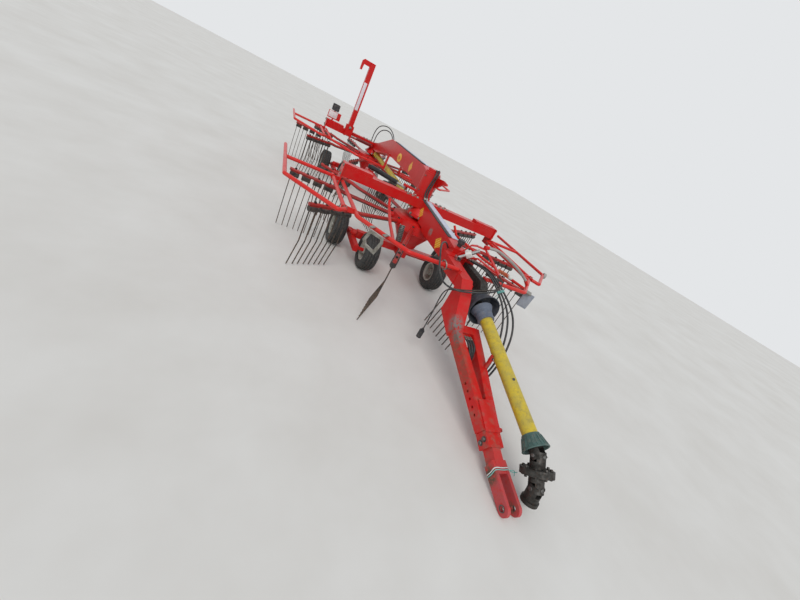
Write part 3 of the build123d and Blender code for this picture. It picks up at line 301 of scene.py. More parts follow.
def coil(start, end, radius, wire, turns):
    """Helical spring between two points."""
    start, end = Vector(start), Vector(end)
    stand = standing(start, end - start)
    count = turns * 10
    points = [
        stand @ Vector((radius * cos(tau * step / 10), radius * sin(tau * step / 10),
                        (end - start).length * step / count))
        for step in range(count + 1)
    ]
    return pipe(points, wire, sides=2)


def copies(model, spots):
    """The model set down at each spot, given as a place and a direction, as one piece."""
    made = []
    for at, way in spots:
        copy = bpy.data.objects.new(model.name, model.data.copy())
        copy.data.transform(standing(at, way))
        bpy.context.scene.collection.objects.link(copy)
        made.append(copy)
    bpy.data.objects.remove(model)
    take(*made)
    if len(made) > 1:
        bpy.ops.object.join()
    return bpy.context.object


def joined(*pieces):
    """Several shapes of one finish as one piece."""
    take(*pieces)
    bpy.ops.object.join()
    return bpy.context.object


def give(piece, material):
    """Gives a piece this finish alone."""
    piece.data.materials.clear()
    piece.data.materials.append(material)


def set_down(piece, name, body, finish, smooth=35):
    """Names a finished piece and gives it its shading, its finish and the body it rides on."""
    take(piece)
    piece.name = name
    piece.data.name = name
    bpy.ops.object.shade_smooth_by_angle(angle=radians(smooth))
    give(piece, finishes()[finish])
    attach(piece, body)
    return piece


def beside(x, y, z, axis=FRONT):
    """Point beside a rotor's axis, in metres."""
    return axis + Vector((x, y, z))


# Finishes: the size of every pattern is a real one, in millimetres on the piece


def tint(code):
    """Linear colour of an sRGB hex value."""
    values = [int(code[i:i + 2], 16) / 255 for i in (1, 3, 5)]
    return tuple(v / 12.92 if v <= 0.04045 else ((v + 0.055) / 1.055) ** 2.4 for v in values) + (1,)


def per_metre(size_mm):
    """Texture scale on Object coordinates for a feature of this size."""
    return 1000 / size_mm


def add_node(tree, kind, values=None, out=0, **settings):
    """Adds a shader node with its settings, values and links, and gives one of its outputs."""
    node = tree.nodes.new("ShaderNode" + kind)
    for name, value in settings.items():
        setattr(node, name, value)
    for name, value in (values or {}).items():
        if isinstance(value, bpy.types.NodeSocket):
            tree.links.new(value, node.inputs[name])
        else:
            node.inputs[name].default_value = value
    return node.outputs[out] if node.outputs else None


def open_material(name):
    """New material with the object coordinates that its patterns use."""
    material = bpy.data.materials.new(name)
    material.use_nodes = True
    tree = material.node_tree
    tree.nodes.clear()
    return material, tree, add_node(tree, "TexCoord", out="Object")


def close_material(tree, values):
    """Surface with these values, led to the material's output."""
    surface = add_node(tree, "BsdfPrincipled", values)
    add_node(tree, "OutputMaterial", {"Surface": surface})


def patches(tree, place, size_mm, low, high, least=0.0, most=1.0, detail=4.0, grit=0.6):
    """Cloudy patches of about this size, as a share from least to most."""
    cloud = add_node(tree, "TexNoise", {"Vector": place, "Scale": per_metre(size_mm), "Detail": detail,
                                        "Roughness": grit})
    return add_node(tree, "MapRange", {"Value": cloud, "From Min": low, "From Max": high,
                                       "To Min": least, "To Max": most})


def low_parts(tree, place, top, foot, least=0.0, most=1.0):
    """Share that grows from a height down to the ground, for dust and mud."""
    height = add_node(tree, "SeparateXYZ", {0: place}, "Z")
    return add_node(tree, "MapRange", {"Value": height, "From Min": foot, "From Max": top,
                                       "To Min": most, "To Max": least})


def up_faces_bleached_and_lit(tree):
    """Share of a face that looks up, where paint is lighter: sun bleaching, and a painted highlight of the
    sky.
    """
    normal = add_node(tree, "NewGeometry", out="Normal")
    up = add_node(tree, "SeparateXYZ", {0: normal}, "Z")
    return add_node(tree, "MapRange", {"Value": up, "From Min": 0.45, "From Max": 0.95})


def coated(tree, body, *coats):
    """Body colour under coats, each given as the share that it covers and its colour."""
    for share, shade in coats:
        body = add_node(tree, "Mix", {0: share, 6: body, 7: shade}, 2, data_type="RGBA")
    return body


def duller(tree, share, gloss, dull):
    """Roughness that goes from glossy to dull with a share."""
    return add_node(tree, "MapRange", {"Value": share, "To Min": gloss, "To Max": dull})


def grained(tree, place, size_mm, depth_mm, strength, detail=3.0, grit=0.6):
    """Relief of a fine grain all over the surface."""
    grain = add_node(tree, "TexNoise", {"Vector": place, "Scale": per_metre(size_mm), "Detail": detail,
                                        "Roughness": grit})
    return add_node(tree, "Bump", {"Height": grain, "Distance": depth_mm * MILLIMETRE,
                                   "Strength": strength})


def ripple(tree, distance, spacing_mm):
    """Wave that rises and falls once in each spacing along a distance."""
    phase = add_node(tree, "Math", {0: distance, 1: tau * per_metre(spacing_mm)}, operation="MULTIPLY")
    return add_node(tree, "Math", {0: phase}, operation="SINE")


def enamel(name, colour, faded, wear=0.5, dust=0.5, roughness=0.32, worn_soiled_and_shaded_spots=()):
    """Sprayed machine enamel: glossy, a little lighter on top from sun bleaching and a painted highlight of
    the sky, chipped, with dust lower down.

    The spheres given hold place, radius and colour where the coat is rubbed to steel, caked with soil, or
    darkened as painted shade.
    """
    material, tree, place = open_material(name)
    clouds = patches(tree, place, 240, 0.3, 0.7, detail=3)
    # Upward faces turn towards the faded colour: sun bleaching, and a painted highlight where the sky lights
    # the tops
    bleach_and_sky_highlight = add_node(tree, "Math", {0: up_faces_bleached_and_lit(tree), 1: patches(tree, place, 90, 0.3, 0.7, 0.04, 0.3)},
                      operation="MULTIPLY")
    # Dust in soft patches, thicker near the ground
    soft = patches(tree, place, 55, 0.48, 0.72, detail=6, grit=0.7)
    dirt = add_node(tree, "Math", {0: soft, 1: low_parts(tree, place, 0.75, 0.05, 0.16 * dust, 0.91 * dust)},
                    operation="MULTIPLY")
    body = coated(tree, tint(colour), (clouds, tint(faded)), (bleach_and_sky_highlight, tint(faded)), (dirt, tint(PALE_SOIL)))
    # Spots round given points: rubbed steel, soil, and on the drawbar's left bar also painted shade
    for at, reach, shade in worn_soiled_and_shaded_spots:
        away = add_node(tree, "VectorMath", {0: place, 1: tuple(at)}, "Value", operation="DISTANCE")
        near = add_node(tree, "MapRange", {"Value": away, "From Min": reach, "From Max": reach * 0.55})
        ragged = patches(tree, place, 22, 0.38, 0.54, detail=6, grit=0.7)
        # Share of each spot; on the drawbar's left face it lays painted shade as well as soil
        rubbed = add_node(tree, "Math", {0: near, 1: ragged}, operation="MULTIPLY")
        body = coated(tree, body, (rubbed, tint(shade)))
    # Chips to primer and rusty steel, gathered in spots
    fine = patches(tree, place, 9, 0.60, 0.66, detail=5, grit=0.65)
    gather = patches(tree, place, 130, 0.52, 0.66, most=wear, detail=2)
    chips = add_node(tree, "Math", {0: fine, 1: gather}, operation="MULTIPLY")
    skin = add_node(tree, "TexNoise", {"Vector": place, "Scale": per_metre(4), "Detail": 2.0,
                                       "Roughness": 0.6})
    height = add_node(tree, "Math", {0: skin, 1: chips}, operation="SUBTRACT")
    close_material(tree, {
        "Base Color": coated(tree, body, (chips, tint(RUSTY_CHIP))),
        "Roughness": duller(tree, soft, roughness, roughness + 0.28 * dust),
        "Specular IOR Level": 0.32,
        "Normal": add_node(tree, "Bump", {"Height": height, "Distance": 0.35 * MILLIMETRE, "Strength": 0.5}),
    })
    return material


def tine_finish(name, axis_x, axis_y):
    """Rotor arms: red enamel tubes, black rubbed coil holders and dark spring steel tines."""
    material, tree, place = open_material(name)
    height = add_node(tree, "SeparateXYZ", {0: place}, "Z")
    paint = coated(tree, tint("#B01A16"), (patches(tree, place, 60, 0.35, 0.65), tint("#8E2A22")))
    steel = coated(tree, tint("#2A2725"), (patches(tree, place, 30, 0.4, 0.62, detail=5), tint("#5A4636")))
    holder = coated(tree, tint("#1F1E20"), (patches(tree, place, 25, 0.4, 0.6), tint("#4A4038")))
    above = add_node(tree, "MapRange", {"Value": height, "From Min": 0.630, "From Max": 0.634})
    below = add_node(tree, "MapRange", {"Value": height, "From Min": 0.584, "From Max": 0.580})
    low = add_node(tree, "MapRange", {"Value": height, "From Min": 0.30, "From Max": 0.02})
    dust = add_node(tree, "Math", {0: low, 1: patches(tree, place, 12, 0.45, 0.6, most=0.5, detail=5)},
                    operation="MULTIPLY")
    # Coil turns show as rings round the holder, counted outwards from the rotor's axis
    beside_axis = add_node(tree, "VectorMath", {0: place, 1: (axis_x, axis_y, 0.0)}, operation="SUBTRACT")
    level = add_node(tree, "VectorMath", {0: beside_axis, 1: (1.0, 1.0, 0.0)}, operation="MULTIPLY")
    reach = add_node(tree, "VectorMath", {0: level}, "Value", operation="LENGTH")
    turns = add_node(tree, "MapRange", {"Value": ripple(tree, reach, 9), "From Min": -1.0, "From Max": 1.0})
    under_arm = add_node(tree, "MapRange", {"Value": above, "From Min": 1.0, "From Max": 0.0})
    coils = add_node(tree, "Math", {0: turns, 1: under_arm}, operation="MULTIPLY")
    close_material(tree, {
        "Base Color": coated(tree, holder, (below, steel), (above, paint), (dust, tint("#8A7B6A"))),
        "Roughness": duller(tree, above, 0.52, 0.36),
        "Normal": add_node(tree, "Bump", {"Height": coils, "Distance": 2.2 * MILLIMETRE, "Strength": 0.8}),
    })
    return material


def plastic(name, colour, worn, roughness=0.5, grain_mm=3, dust=0.3, dust_and_shade_colour="#8C8175"):
    """Moulded plastic, rubber or twine: soft sheen, fine grain, faded in patches, with dust in patches; a
    dark dust colour also lays painted shade.
    """
    material, tree, place = open_material(name)
    fade = patches(tree, place, 70, 0.36, 0.66, detail=5, grit=0.65)
    # Patches and scratches in the dust colour: dust, and on the yellow guard also painted shade
    dust_and_shade = patches(tree, place, 26, 0.5, 0.68, most=dust, detail=6, grit=0.7)
    scratch = patches(tree, place, 7, 0.64, 0.70, most=dust * 0.6, detail=3, grit=0.8)
    close_material(tree, {
        "Base Color": coated(tree, tint(colour), (fade, tint(worn)), (dust_and_shade, tint(dust_and_shade_colour)),
                             (scratch, tint(dust_and_shade_colour))),
        "Roughness": duller(tree, fade, roughness, roughness + 0.18),
        "Normal": grained(tree, place, grain_mm, 0.25, 0.5),
    })
    return material


def metal(name, colour, stained, roughness=0.35, metallic=1.0, rust=0.3):
    """Bare or plated steel: bright with rubbed marks, stained and rusty in spots."""
    material, tree, place = open_material(name)
    stain = patches(tree, place, 30, 0.4, 0.64, detail=5, grit=0.65)
    spots = patches(tree, place, 12, 0.55, 0.66, most=rust, detail=6, grit=0.7)
    close_material(tree, {
        "Base Color": coated(tree, tint(colour), (stain, tint(stained)), (spots, tint("#6A4630"))),
        "Roughness": duller(tree, stain, roughness, roughness + 0.25),
        "Metallic": metallic,
        "Normal": grained(tree, place, 3, 0.2, 0.4),
    })
    return material


def tyre_rubber(name):
    """Tyre rubber: matt black, grey with dust on the tread and dried mud in the grooves."""
    material, tree, place = open_material(name)
    grey = patches(tree, place, 45, 0.36, 0.66, detail=5, grit=0.65)
    caked = patches(tree, place, 14, 0.52, 0.66, detail=7, grit=0.75)
    mud = add_node(tree, "Math", {0: caked, 1: low_parts(tree, place, 0.30, 0.0, 0.30, 0.80)},
                   operation="MULTIPLY")
    close_material(tree, {
        "Base Color": coated(tree, tint("#232426"), (grey, tint("#3A3B3A")), (mud, tint("#857868"))),
        "Roughness": duller(tree, grey, 0.62, 0.85),
        "Normal": grained(tree, place, 3, 0.5, 0.6, detail=4, grit=0.7),
    })
    return material


def sticker_film(name, colour, second, band_mm=0):
    """Printed vinyl film: one clear colour, scratched at the surface, with thin slanting bands if asked."""
    material, tree, place = open_material(name)
    body = coated(tree, tint(colour), (patches(tree, place, 40, 0.4, 0.6, detail=3), tint(second)))
    if band_mm:
        y = add_node(tree, "SeparateXYZ", {0: place}, "Y")
        z = add_node(tree, "SeparateXYZ", {0: place}, "Z")
        slant = add_node(tree, "Math", {0: y, 1: z}, operation="ADD")
        bands = add_node(tree, "MapRange", {"Value": ripple(tree, slant, band_mm), "From Min": 0.35,
                                            "From Max": 0.55})
        body = coated(tree, body, (bands, tint("#E9CF4A")))
    worn = patches(tree, place, 8, 0.56, 0.66, most=0.45, detail=6, grit=0.7)
    close_material(tree, {
        "Base Color": coated(tree, body, (worn, tint("#A2462E"))),
        "Roughness": 0.4,
        "Normal": add_node(tree, "Bump", {"Height": worn, "Distance": 0.1 * MILLIMETRE, "Strength": 0.5}),
    })
    return material


def make_finishes(looks):
    """All finishes of the machine by name."""
    red, pale = looks.paint, looks.faded_paint
    return {
        "enamel": enamel("red_machine_enamel", red, pale, 0.5, 0.45),
        # Drawbar: grey spots rubbed to steel on the left bar, and two large dark brown spots on its left
        # face, which are soil and painted shade of that face
        "drawbar": enamel("rubbed_drawbar_enamel", red, pale, 0.7, 0.8, 0.34, worn_soiled_and_shaded_spots=(
            (beside(-0.125, -1.70, 0.48), 0.09, "#77706C"), (beside(-0.120, -1.78, 0.43), 0.07, "#77706C"),
            (beside(-0.30, -1.86, 0.36), 0.26, "#5B4932"), (beside(-0.30, -2.06, 0.28), 0.26, "#5F4A35"))),
        "hitch": enamel("weathered_hitch_enamel", "#C01C1E", "#C2403C", 0.9, 0.9, 0.45, worn_soiled_and_shaded_spots=(
            (beside(0, -2.76, 0.06), 0.21, "#B4494B"), (beside(-0.07, -2.64, 0.07), 0.07, "#5A4636"),
            (beside(0.05, -2.81, 0.03), 0.045, "#5E4A3A"))),
        "guard": enamel("guard_tube_enamel", "#CC1410", "#C8332A", 0.6, 0.45, 0.3),
        "channel": enamel("rotor_channel_enamel", red, pale, 0.4, 0.5, 0.3),
        "beam": enamel("main_beam_enamel", red, pale, 0.5, 0.5, 0.28, worn_soiled_and_shaded_spots=(
            (beside(-0.066, -0.53, 0.76), 0.05, "#8A8078"),)),
        "dark_enamel": enamel("oily_red_enamel", "#7E2024", "#6A2A2A", 0.6, 0.9, 0.42),
        "front_tines": tine_finish("front_rotor_arm_finish", FRONT.x, FRONT.y),
        "rear_tines": tine_finish("rear_rotor_arm_finish", REAR.x, REAR.y),
        "tyre": tyre_rubber("ribbed_tyre_rubber"),
        "rim": enamel("chalky_rim_enamel", looks.rim_paint, "#A8A69C", 0.7, 1.2, 0.5),
        "black_plastic": plastic("black_moulded_plastic", "#232427", "#3A3B3D", 0.5),
        "bell": plastic("slate_bell_plastic", "#363A42", "#4C525B", 0.5, dust=0.35),
        "sleeve": plastic("slate_sleeve_plastic", "#585F6E", "#6E7683", 0.48, dust=0.3),
        # Dark olive patches over the yellow guard: dust, and painted shade that darkens the tube
        "yellow": plastic("yellow_guard_plastic", looks.shaft_yellow, "#AE9C44", 0.42, dust=0.45,
                          dust_and_shade_colour="#6F6440"),
        "teal": plastic("teal_collar_plastic", "#35504B", "#4E6C66", 0.5, dust=0.35),
        "hose": plastic("black_hose_rubber", "#1B1C1E", "#303133", 0.45, 2, dust=0.22),
        "conduit": plastic("grey_conduit_plastic", "#8E8B86", "#A39E98", 0.55, 2, dust=0.3),
        "rope": plastic("dirty_rope_fibre", "#2D2B29", "#4A443D", 0.9, 2, dust=0.4),
        "pale_strip": plastic("pale_cover_plastic", "#B2B3C2", "#C6C6D0", 0.42, dust=0.2),
        "pale_panel": plastic("pale_panel_plastic", "#D8CBCA", "#E2DBD8", 0.45, dust=0.2),
        "white_film": plastic("white_cover_film", "#D3CDD2", "#E0DCDF", 0.4, dust=0.2),
        "flap": plastic("grey_flap_rubber", "#868B95", "#9EA3AB", 0.6, dust=0.3),
        "white": plastic("white_block_plastic", "#D6D8CE", "#E4E5DE", 0.4, dust=0.3),
        "twine": plastic("cyan_baler_twine", "#5FA79F", "#86BDB4", 0.7, 2, dust=0.3),
        "white_twine": plastic("white_baler_twine", "#CDD2CE", "#DADFDA", 0.7, 2, dust=0.3),
        "cap": plastic("grey_end_cap_plastic", "#8C8B88", "#A5A39E", 0.6, dust=0.4),
        "orange": plastic("orange_spring_coat", "#D2512A", "#C4714A", 0.4, dust=0.3),
        "chrome": metal("worn_chrome_plate", "#C9C9C8", "#A9A7A3", 0.14, rust=0.15),
        "steel": metal("zinc_plated_steel", "#A5A39C", "#837F76", 0.36, rust=0.35),
        "grey_steel": metal("dull_spring_steel", "#7C7C7B", "#5E5C58", 0.42, rust=0.3),
        "cast": metal("greasy_forged_steel", "#4A4845", "#34322F", 0.5, 0.75, 0.35),
        "lens": plastic("amber_lens_plastic", "#8E3B1C", "#A5562F", 0.25, dust=0.15),
        "diamond": sticker_film("orange_striped_film", "#DC7A18", "#E08A24", 34),
        "round": sticker_film("yellow_printed_film", "#E6B92A", "#E2A326"),
        "oval_middle": sticker_film("orange_printed_film", "#C06A1E", "#B45F1C"),
        "black_enamel": enamel("black_cylinder_enamel", "#161719", "#2A2B2D", 0.4, 0.6, 0.34),
    }


NODE_FINISH = {
    "enamel": ["front_chassis", "rear_chassis", "front_hub", "rear_hub", "mast", "front_gearbox",
               "rear_gearbox", "hose_bracket"],
    "beam": ["front_beam", "rear_beam"],
    "channel": ["front_channel", "rear_channel"],
    "drawbar": ["drawbar"],
    "hitch": ["hitch_clevis"],
    "guard": ["front_guard", "rear_guard", "front_loop_left", "front_loop_right",
              "rear_loop_left", "rear_loop_right"],
    "dark_enamel": ["mast_barrel"],
    "black_enamel": ["swing_barrel"],
    "front_tines": ["front_tine_arms"],
    "rear_tines": ["rear_tine_arms"],
    "cast": ["input_gearbox", "pto_yokes", "rear_drive_joint"],
    "bell": ["gearbox_bell"],
    "teal": ["pto_collar"],
    "black_plastic": ["valve_knob", "lamp", "lead_plug"],
    "sleeve": ["pto_sleeve"],
    "yellow": ["pto_guard", "rear_drive_shaft"],
    "chrome": ["swing_rod", "mast_rod", "levelling_jack"],
}


# Settings that a user would change


class RakeLooks(bpy.types.PropertyGroup):
    """Colours and sizes of the dressed machine."""

    paint: bpy.props.StringProperty(name="Paint", description="Main enamel, sRGB hex", default="#C80A0C")
    # The faded colour also lays the painted highlight on upward faces
    faded_paint: bpy.props.StringProperty(name="Faded paint", description="Bleached enamel, sRGB hex",
                                          default="#BE2420")
    rim_paint: bpy.props.StringProperty(name="Rim paint", description="Enamel of the rims, sRGB hex",
                                        default="#BDBBB2")
    shaft_yellow: bpy.props.StringProperty(name="Shaft guard", description="Guard tube colour, sRGB hex",
                                           default="#C9AE22")
    tread_depth: bpy.props.FloatProperty(name="Tread depth", description="Depth of the tyre grooves",
                                         default=0.008, min=0.002, max=0.012, unit="LENGTH")
    bolt_width: bpy.props.FloatProperty(name="Bolt head", description="Width across a bolt head's corners",
                                        default=0.026, min=0.01, max=0.05, unit="LENGTH")


def finishes():
    """The finishes, made once per scene."""
    made = {m["rake_key"]: m for m in bpy.data.materials if "rake_key" in m}
    if not made:
        made = make_finishes(bpy.context.scene.rake_looks)
        for key, material in made.items():
            material["rake_key"] = key
    return made


def bolt_head(wide):
    """Hexagon head of this width on its washer, standing on the origin."""
    washer = turned([(0, wide * 0.62), (0.0025, wide * 0.62)], sides=20)
    half = wide / 2
    head = turned([(0.0025, half), (0.010, half), (0.0125, half * 0.84)], sides=6)
    return joined(washer, head)


class RAKE_OT_paint_frame(bpy.types.Operator):
    """Give every part of the frame its own finish"""

    bl_idname = "rake.paint_frame"
    bl_label = "Frame finishes"

    def execute(self, context):
        made = finishes()
        for key, names in NODE_FINISH.items():
            for name in names:
                give(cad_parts[name], made[key])
        for name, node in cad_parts.items():
            if "_rim_" in name:
                give(node, made["rim"])
        return {"FINISHED"}


class RAKE_OT_tyres(bpy.types.Operator):
    """Ribbed implement tyres in place of the plain ones"""

    bl_idname = "rake.tyres"
    bl_label = "Tyres"

    def execute(self, context):
        groove = TYRE_RADIUS - context.scene.rake_looks.tread_depth
        steps = [(-0.0555, 0.1045), (-0.0555, 0.118), (-0.068, 0.122), (-0.0795, 0.134), (-0.0825, 0.152),
                 (-0.0815, 0.168), (-0.0765, 0.182), (-0.071, 0.190), (-0.066, 0.1955), (-0.058, 0.199)]
        # Four grooves in a tread that is a little rounded
        for middle in (-0.046, -0.0155, 0.0155, 0.046):
            crown = TYRE_RADIUS - TREAD_ROUNDING * middle * middle
            steps += [(middle - 0.0055, crown), (middle - 0.0035, groove),
                      (middle + 0.0035, groove), (middle + 0.0055, crown)]
        steps += [(-d, r) for d, r in reversed(steps[:10])]
        steps.append(steps[0])
        model = turned(steps, way=(1, 0, 0), sides=72, open_ends=True, close=True)
        model.name = "tyre_model"
        for rotor, axis in ROTORS:
            for place, (out, back) in WHEEL_PLACES.items():
                tyre = bpy.data.objects.new("tyre", model.data.copy())
                bpy.context.scene.collection.objects.link(tyre)
                tyre.data.transform(Matrix.Translation(beside(out, back, TYRE_RADIUS, axis)))
                set_down(tyre, f"{rotor}_ribbed_tyre_{place}", f"{rotor}_wheel_{place}", "tyre", 50)
                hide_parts(f"{rotor}_tyre_{place}")
        bpy.data.objects.remove(model)
        return {"FINISHED"}


class RAKE_OT_wheel_nuts(bpy.types.Operator):
    """Wheel nuts and a grease cap on each rim"""

    bl_idname = "rake.wheel_nuts"
    bl_label = "Wheel nuts"

    def execute(self, context):
        for rotor, axis in ROTORS:
            for place, (out, back) in WHEEL_PLACES.items():
                side = 1 if out > 0 else -1
                open_side = side if place.startswith("outer") else -side
                middle = beside(out, back, TYRE_RADIUS, axis)
                spots = []
                for turn in range(NUT_COUNT):
                    angle = turn * tau / NUT_COUNT + FIRST_NUT
                    lift = Vector((0, NUT_CIRCLE * cos(angle), NUT_CIRCLE * sin(angle)))
                    for face in (-1, 1):
                        spots.append((middle + lift + Vector((face * RIM_DISC_HALF, 0, 0)), (face, 0, 0)))
                nuts = copies(bolt_head(context.scene.rake_looks.bolt_width), spots)
                cap = turned([(0.0562, 0.033), (0.0635, 0.032), (0.071, 0.022), (0.0735, 0.010)],
                             middle, (open_side, 0, 0), 24)
                set_down(joined(nuts, cap), f"{rotor}_wheel_nuts_{place}", f"{rotor}_wheel_{place}",
                         "steel")
        return {"FINISHED"}


class RAKE_OT_lines(bpy.types.Operator):
    """Hydraulic hoses, conduit, lighting lead and rope"""

    bl_idname = "rake.lines"
    bl_label = "Hoses and lines"

    def execute(self, context):
        made = finishes()
        ends = {name: ferrules(name) for name in HOSE_ROUTES
                if name.startswith(("hose", "arch", "swing"))}
        ends["light_lead"] = [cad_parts["lead_plug"]]
        finish_of = {"conduit": ("conduit", "grey_plastic"), "light_lead": ("hose", "grey_plastic"),
                     "rope": ("rope", "rope_fibre")}
        for name, route in HOSE_ROUTES.items():
            diameter, length, far_end, stiffness = LINE_FACTS[name]
            points = [FRONT + Vector(point) / 1000 for point in route]
            line = round_line("smooth_" + name, points, diameter / 2, 10, 4)
            key, slot = finish_of.get(name, ("hose", "hose_rubber"))
            line.data.materials.append(made[key])
            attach(line, line_body(name))
            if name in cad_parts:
                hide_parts(name)
        return {"FINISHED"}


def line_body(name):
    """Body that a line rides on."""
    return "rear_frame" if name.startswith("arch") else "front_frame"


def ferrules(name):
    """Crimped sleeves and union nuts at both ends of a hose."""
    route = [FRONT + Vector(point) / 1000 for point in HOSE_ROUTES[name]]
    pieces = []
    for end, inner in ((route[0], route[1]), (route[-1], route[-2])):
        way = (inner - end).normalized()
        pieces.append(turned([(0.0, 0.0085), (0.0005, 0.0112), (0.014, 0.0112), (0.0145, 0.0100),
                              (0.034, 0.0100), (0.036, 0.0084)], end, way, 20))
    return [set_down(joined(*pieces), name + "_ferrules", line_body(name), "steel")]


def along_shaft(distance):
    """Point on the drive shaft's axis, counted from its rear joint."""
    return PTO_REAR + (PTO_FRONT - PTO_REAR).normalized() * distance


class RAKE_OT_drive_shaft(bpy.types.Operator):
    """Ribs, rings, bellows, band, catch, bearing caps and bolts of the drive shaft"""

    bl_idname = "rake.drive_shaft"
    bl_label = "Drive shaft fittings"

    def execute(self, context):
        length = (PTO_FRONT - PTO_REAR).length
        way = (PTO_FRONT - PTO_REAR).normalized()
        # Ribs along the flared collar, and the rolled edge of its mouth
        rib = block((0.0045, 0.006, 0.066), (0, 0, 0), edge=0.0012)
        stand = standing(along_shaft(length - 0.060), way)
        ribs = []
        for turn in range(COLLAR_RIBS):
            copy = bpy.data.objects.new("rib", rib.data.copy())
            context.scene.collection.objects.link(copy)
            copy.data.transform(stand @ Matrix.Rotation(turn * tau / COLLAR_RIBS, 4, "Z") @
                                Matrix.Translation((0.0715, 0, 0.046)) @
                                Matrix.Rotation(COLLAR_FLARE, 4, "Y"))
            ribs.append(copy)
        bpy.data.objects.remove(rib)
        edge = turned([(0.082, 0.0815), (0.083, 0.0855), (0.088, 0.0875), (0.0915, 0.0860), (0.0915, 0.0790),
                       (0.088, 0.0770)], sides=48, open_ends=True)
        edge.data.transform(stand)
        set_down(joined(*ribs, edge), "collar_ribs", "pto_shaft", "teal")
        rings = [turned([(at, 0.0642), (at + 0.002, 0.0668), (at + 0.008, 0.0668), (at + 0.010, 0.0642)],
                        PTO_REAR, way, 48, open_ends=True) for at in (0.070, 0.092, 0.134)]
        set_down(joined(*rings), "sleeve_rings", "pto_shaft", "sleeve")
        # Bellows that open from the sleeve towards the bell, in four folds
        folds = [(0.030, 0.0800), (0.030, 0.0860), (0.036, 0.0860), (0.040, 0.0800), (0.044, 0.0825),
                 (0.049, 0.0765), (0.053, 0.0790), (0.058, 0.0725), (0.062, 0.0745), (0.069, 0.0665),
                 (0.071, 0.0645), (0.071, 0.0600), (0.050, 0.0720), (0.030, 0.0800)]
        cone = turned(folds, PTO_REAR, way, 48, open_ends=True, close=True)
        set_down(cone, "sleeve_bellows", "pto_shaft", "sleeve")
        band = turned([(0.40, 0.0502), (0.402, 0.0525), (0.425, 0.0525), (0.427, 0.0502)],
                      PTO_REAR, way, 48, open_ends=True)
        set_down(band, "guard_tube_band", "pto_shaft", "yellow")
        latch = turned([(0, 0.010), (0.004, 0.010), (0.006, 0.007)],
                       along_shaft(0.66) + Vector((-0.012, -0.030, 0.040)), (-0.24, -0.58, 0.78), 24)
        set_down(latch, "guard_tube_catch", "pto_shaft", "black_plastic")
        # Bright bearing caps on both crosses, then bolts on both faces of the disc between them
        first = along_shaft(length + 0.062)
        disc = PTO_FRONT + Vector((0, -0.122, -0.084))
        second = disc * 2 - first
        across = (disc - first).normalized().cross(Vector((1, 0, 0)))
        cap = turned([(0, 0.0125), (0.004, 0.0125), (0.0055, 0.0105)], sides=20)
        spots = []
        for joint in (first, second):
            for pin in (Vector((1, 0, 0)), across):
                for side in (-1, 1):
                    spots.append((joint + pin * side * 0.0445, pin * side))
        caps = copies(cap, spots)
        set_down(caps, "joint_bearing_caps", "pto_shaft", "grey_steel")
        bolts = []
        normal = (disc - first).normalized()
        for turn in range(8):
            angle = turn * tau / 8 + 0.2
            around = Vector((1, 0, 0)) * cos(angle) + across * sin(angle)
            for face in (-1, 1):
                bolts.append((disc + around * 0.078 + normal * face * 0.019, normal * face))
        flange = copies(bolt_head(0.018), bolts)
        set_down(flange, "joint_disc_bolts", "pto_shaft", "cast")
        return {"FINISHED"}


def on_rear_beam(x, y, z):
    """Point given beside the swing pivot along the rear beam, which runs a little to the right."""
    across = x * cos(BEAM_TURN) + y * sin(BEAM_TURN)
    along = y * cos(BEAM_TURN) - x * sin(BEAM_TURN)
    return PIVOT + Vector((across, along, z))


class RAKE_OT_stickers(bpy.types.Operator):
    """Printed film and cover strips on both beams"""

    bl_idname = "rake.stickers"
    bl_label = "Stickers and strips"

    def execute(self, context):
        face_x = -0.0655
        for name, y, z, size in (("front", -0.762, 0.748, 0.094), ("rear", -0.135, 0.812, 0.090)):
            piece = block((0.0012, size, size), beside(face_x, y, z), (radians(52), 0, 0), 0.0004, 1)
            set_down(piece, f"diamond_sticker_{name}", "front_frame", "diamond")
        slope = 0.0656
        for name, x, wide, key in (("dark", -0.043, 0.040, "black_plastic"),
                                   ("pale", 0.022, 0.070, "pale_strip")):
            strip = block((wide, 0.86, 0.010), beside(x, -0.43, 0.8975), (slope, 0, 0), 0.004, 3)
            set_down(strip, f"{name}_beam_strip", "front_frame", key)
        # The arch over the rotor: film on its left flank, covers along its top
        piece = block((0.0012, 0.098, 0.098), on_rear_beam(face_x, 0.62, 1.085),
                      (radians(45), 0, -BEAM_TURN), 0.0004, 1)
        set_down(piece, "small_arch_sticker", "rear_frame", "diamond")
        for name, height, reach, key in (("oval", 0.058, 0, "round"),
                                         ("small_oval", 0.026, 0.0008, "oval_middle")):
            disc = turned([(0, height), (0.0010, height), (0.0012, height - 0.0005)], sides=48)
            disc.data.transform(Matrix.Diagonal((1.0, 1.75, 1.0, 1.0)))
            disc.data.transform(Matrix.Translation(on_rear_beam(-0.0650 - reach, 1.22, 1.070)) @
                                Matrix.Rotation(-BEAM_TURN, 4, "Z") @ Matrix.Rotation(radians(-90), 4, "Y"))
            set_down(disc, f"{name}_arch_sticker", "rear_frame", key)
        for name, x, wide, key in (("dark", -0.038, 0.046, "black_plastic"),
                                   ("pale", 0.016, 0.054, "pale_strip")):
            strip = block((wide, 1.46, 0.010), on_rear_beam(x, 1.02, 1.2088), (-0.0098, 0, -BEAM_TURN),
                          0.004, 3)
            set_down(strip, f"{name}_arch_strip", "rear_frame", key)
        return {"FINISHED"}


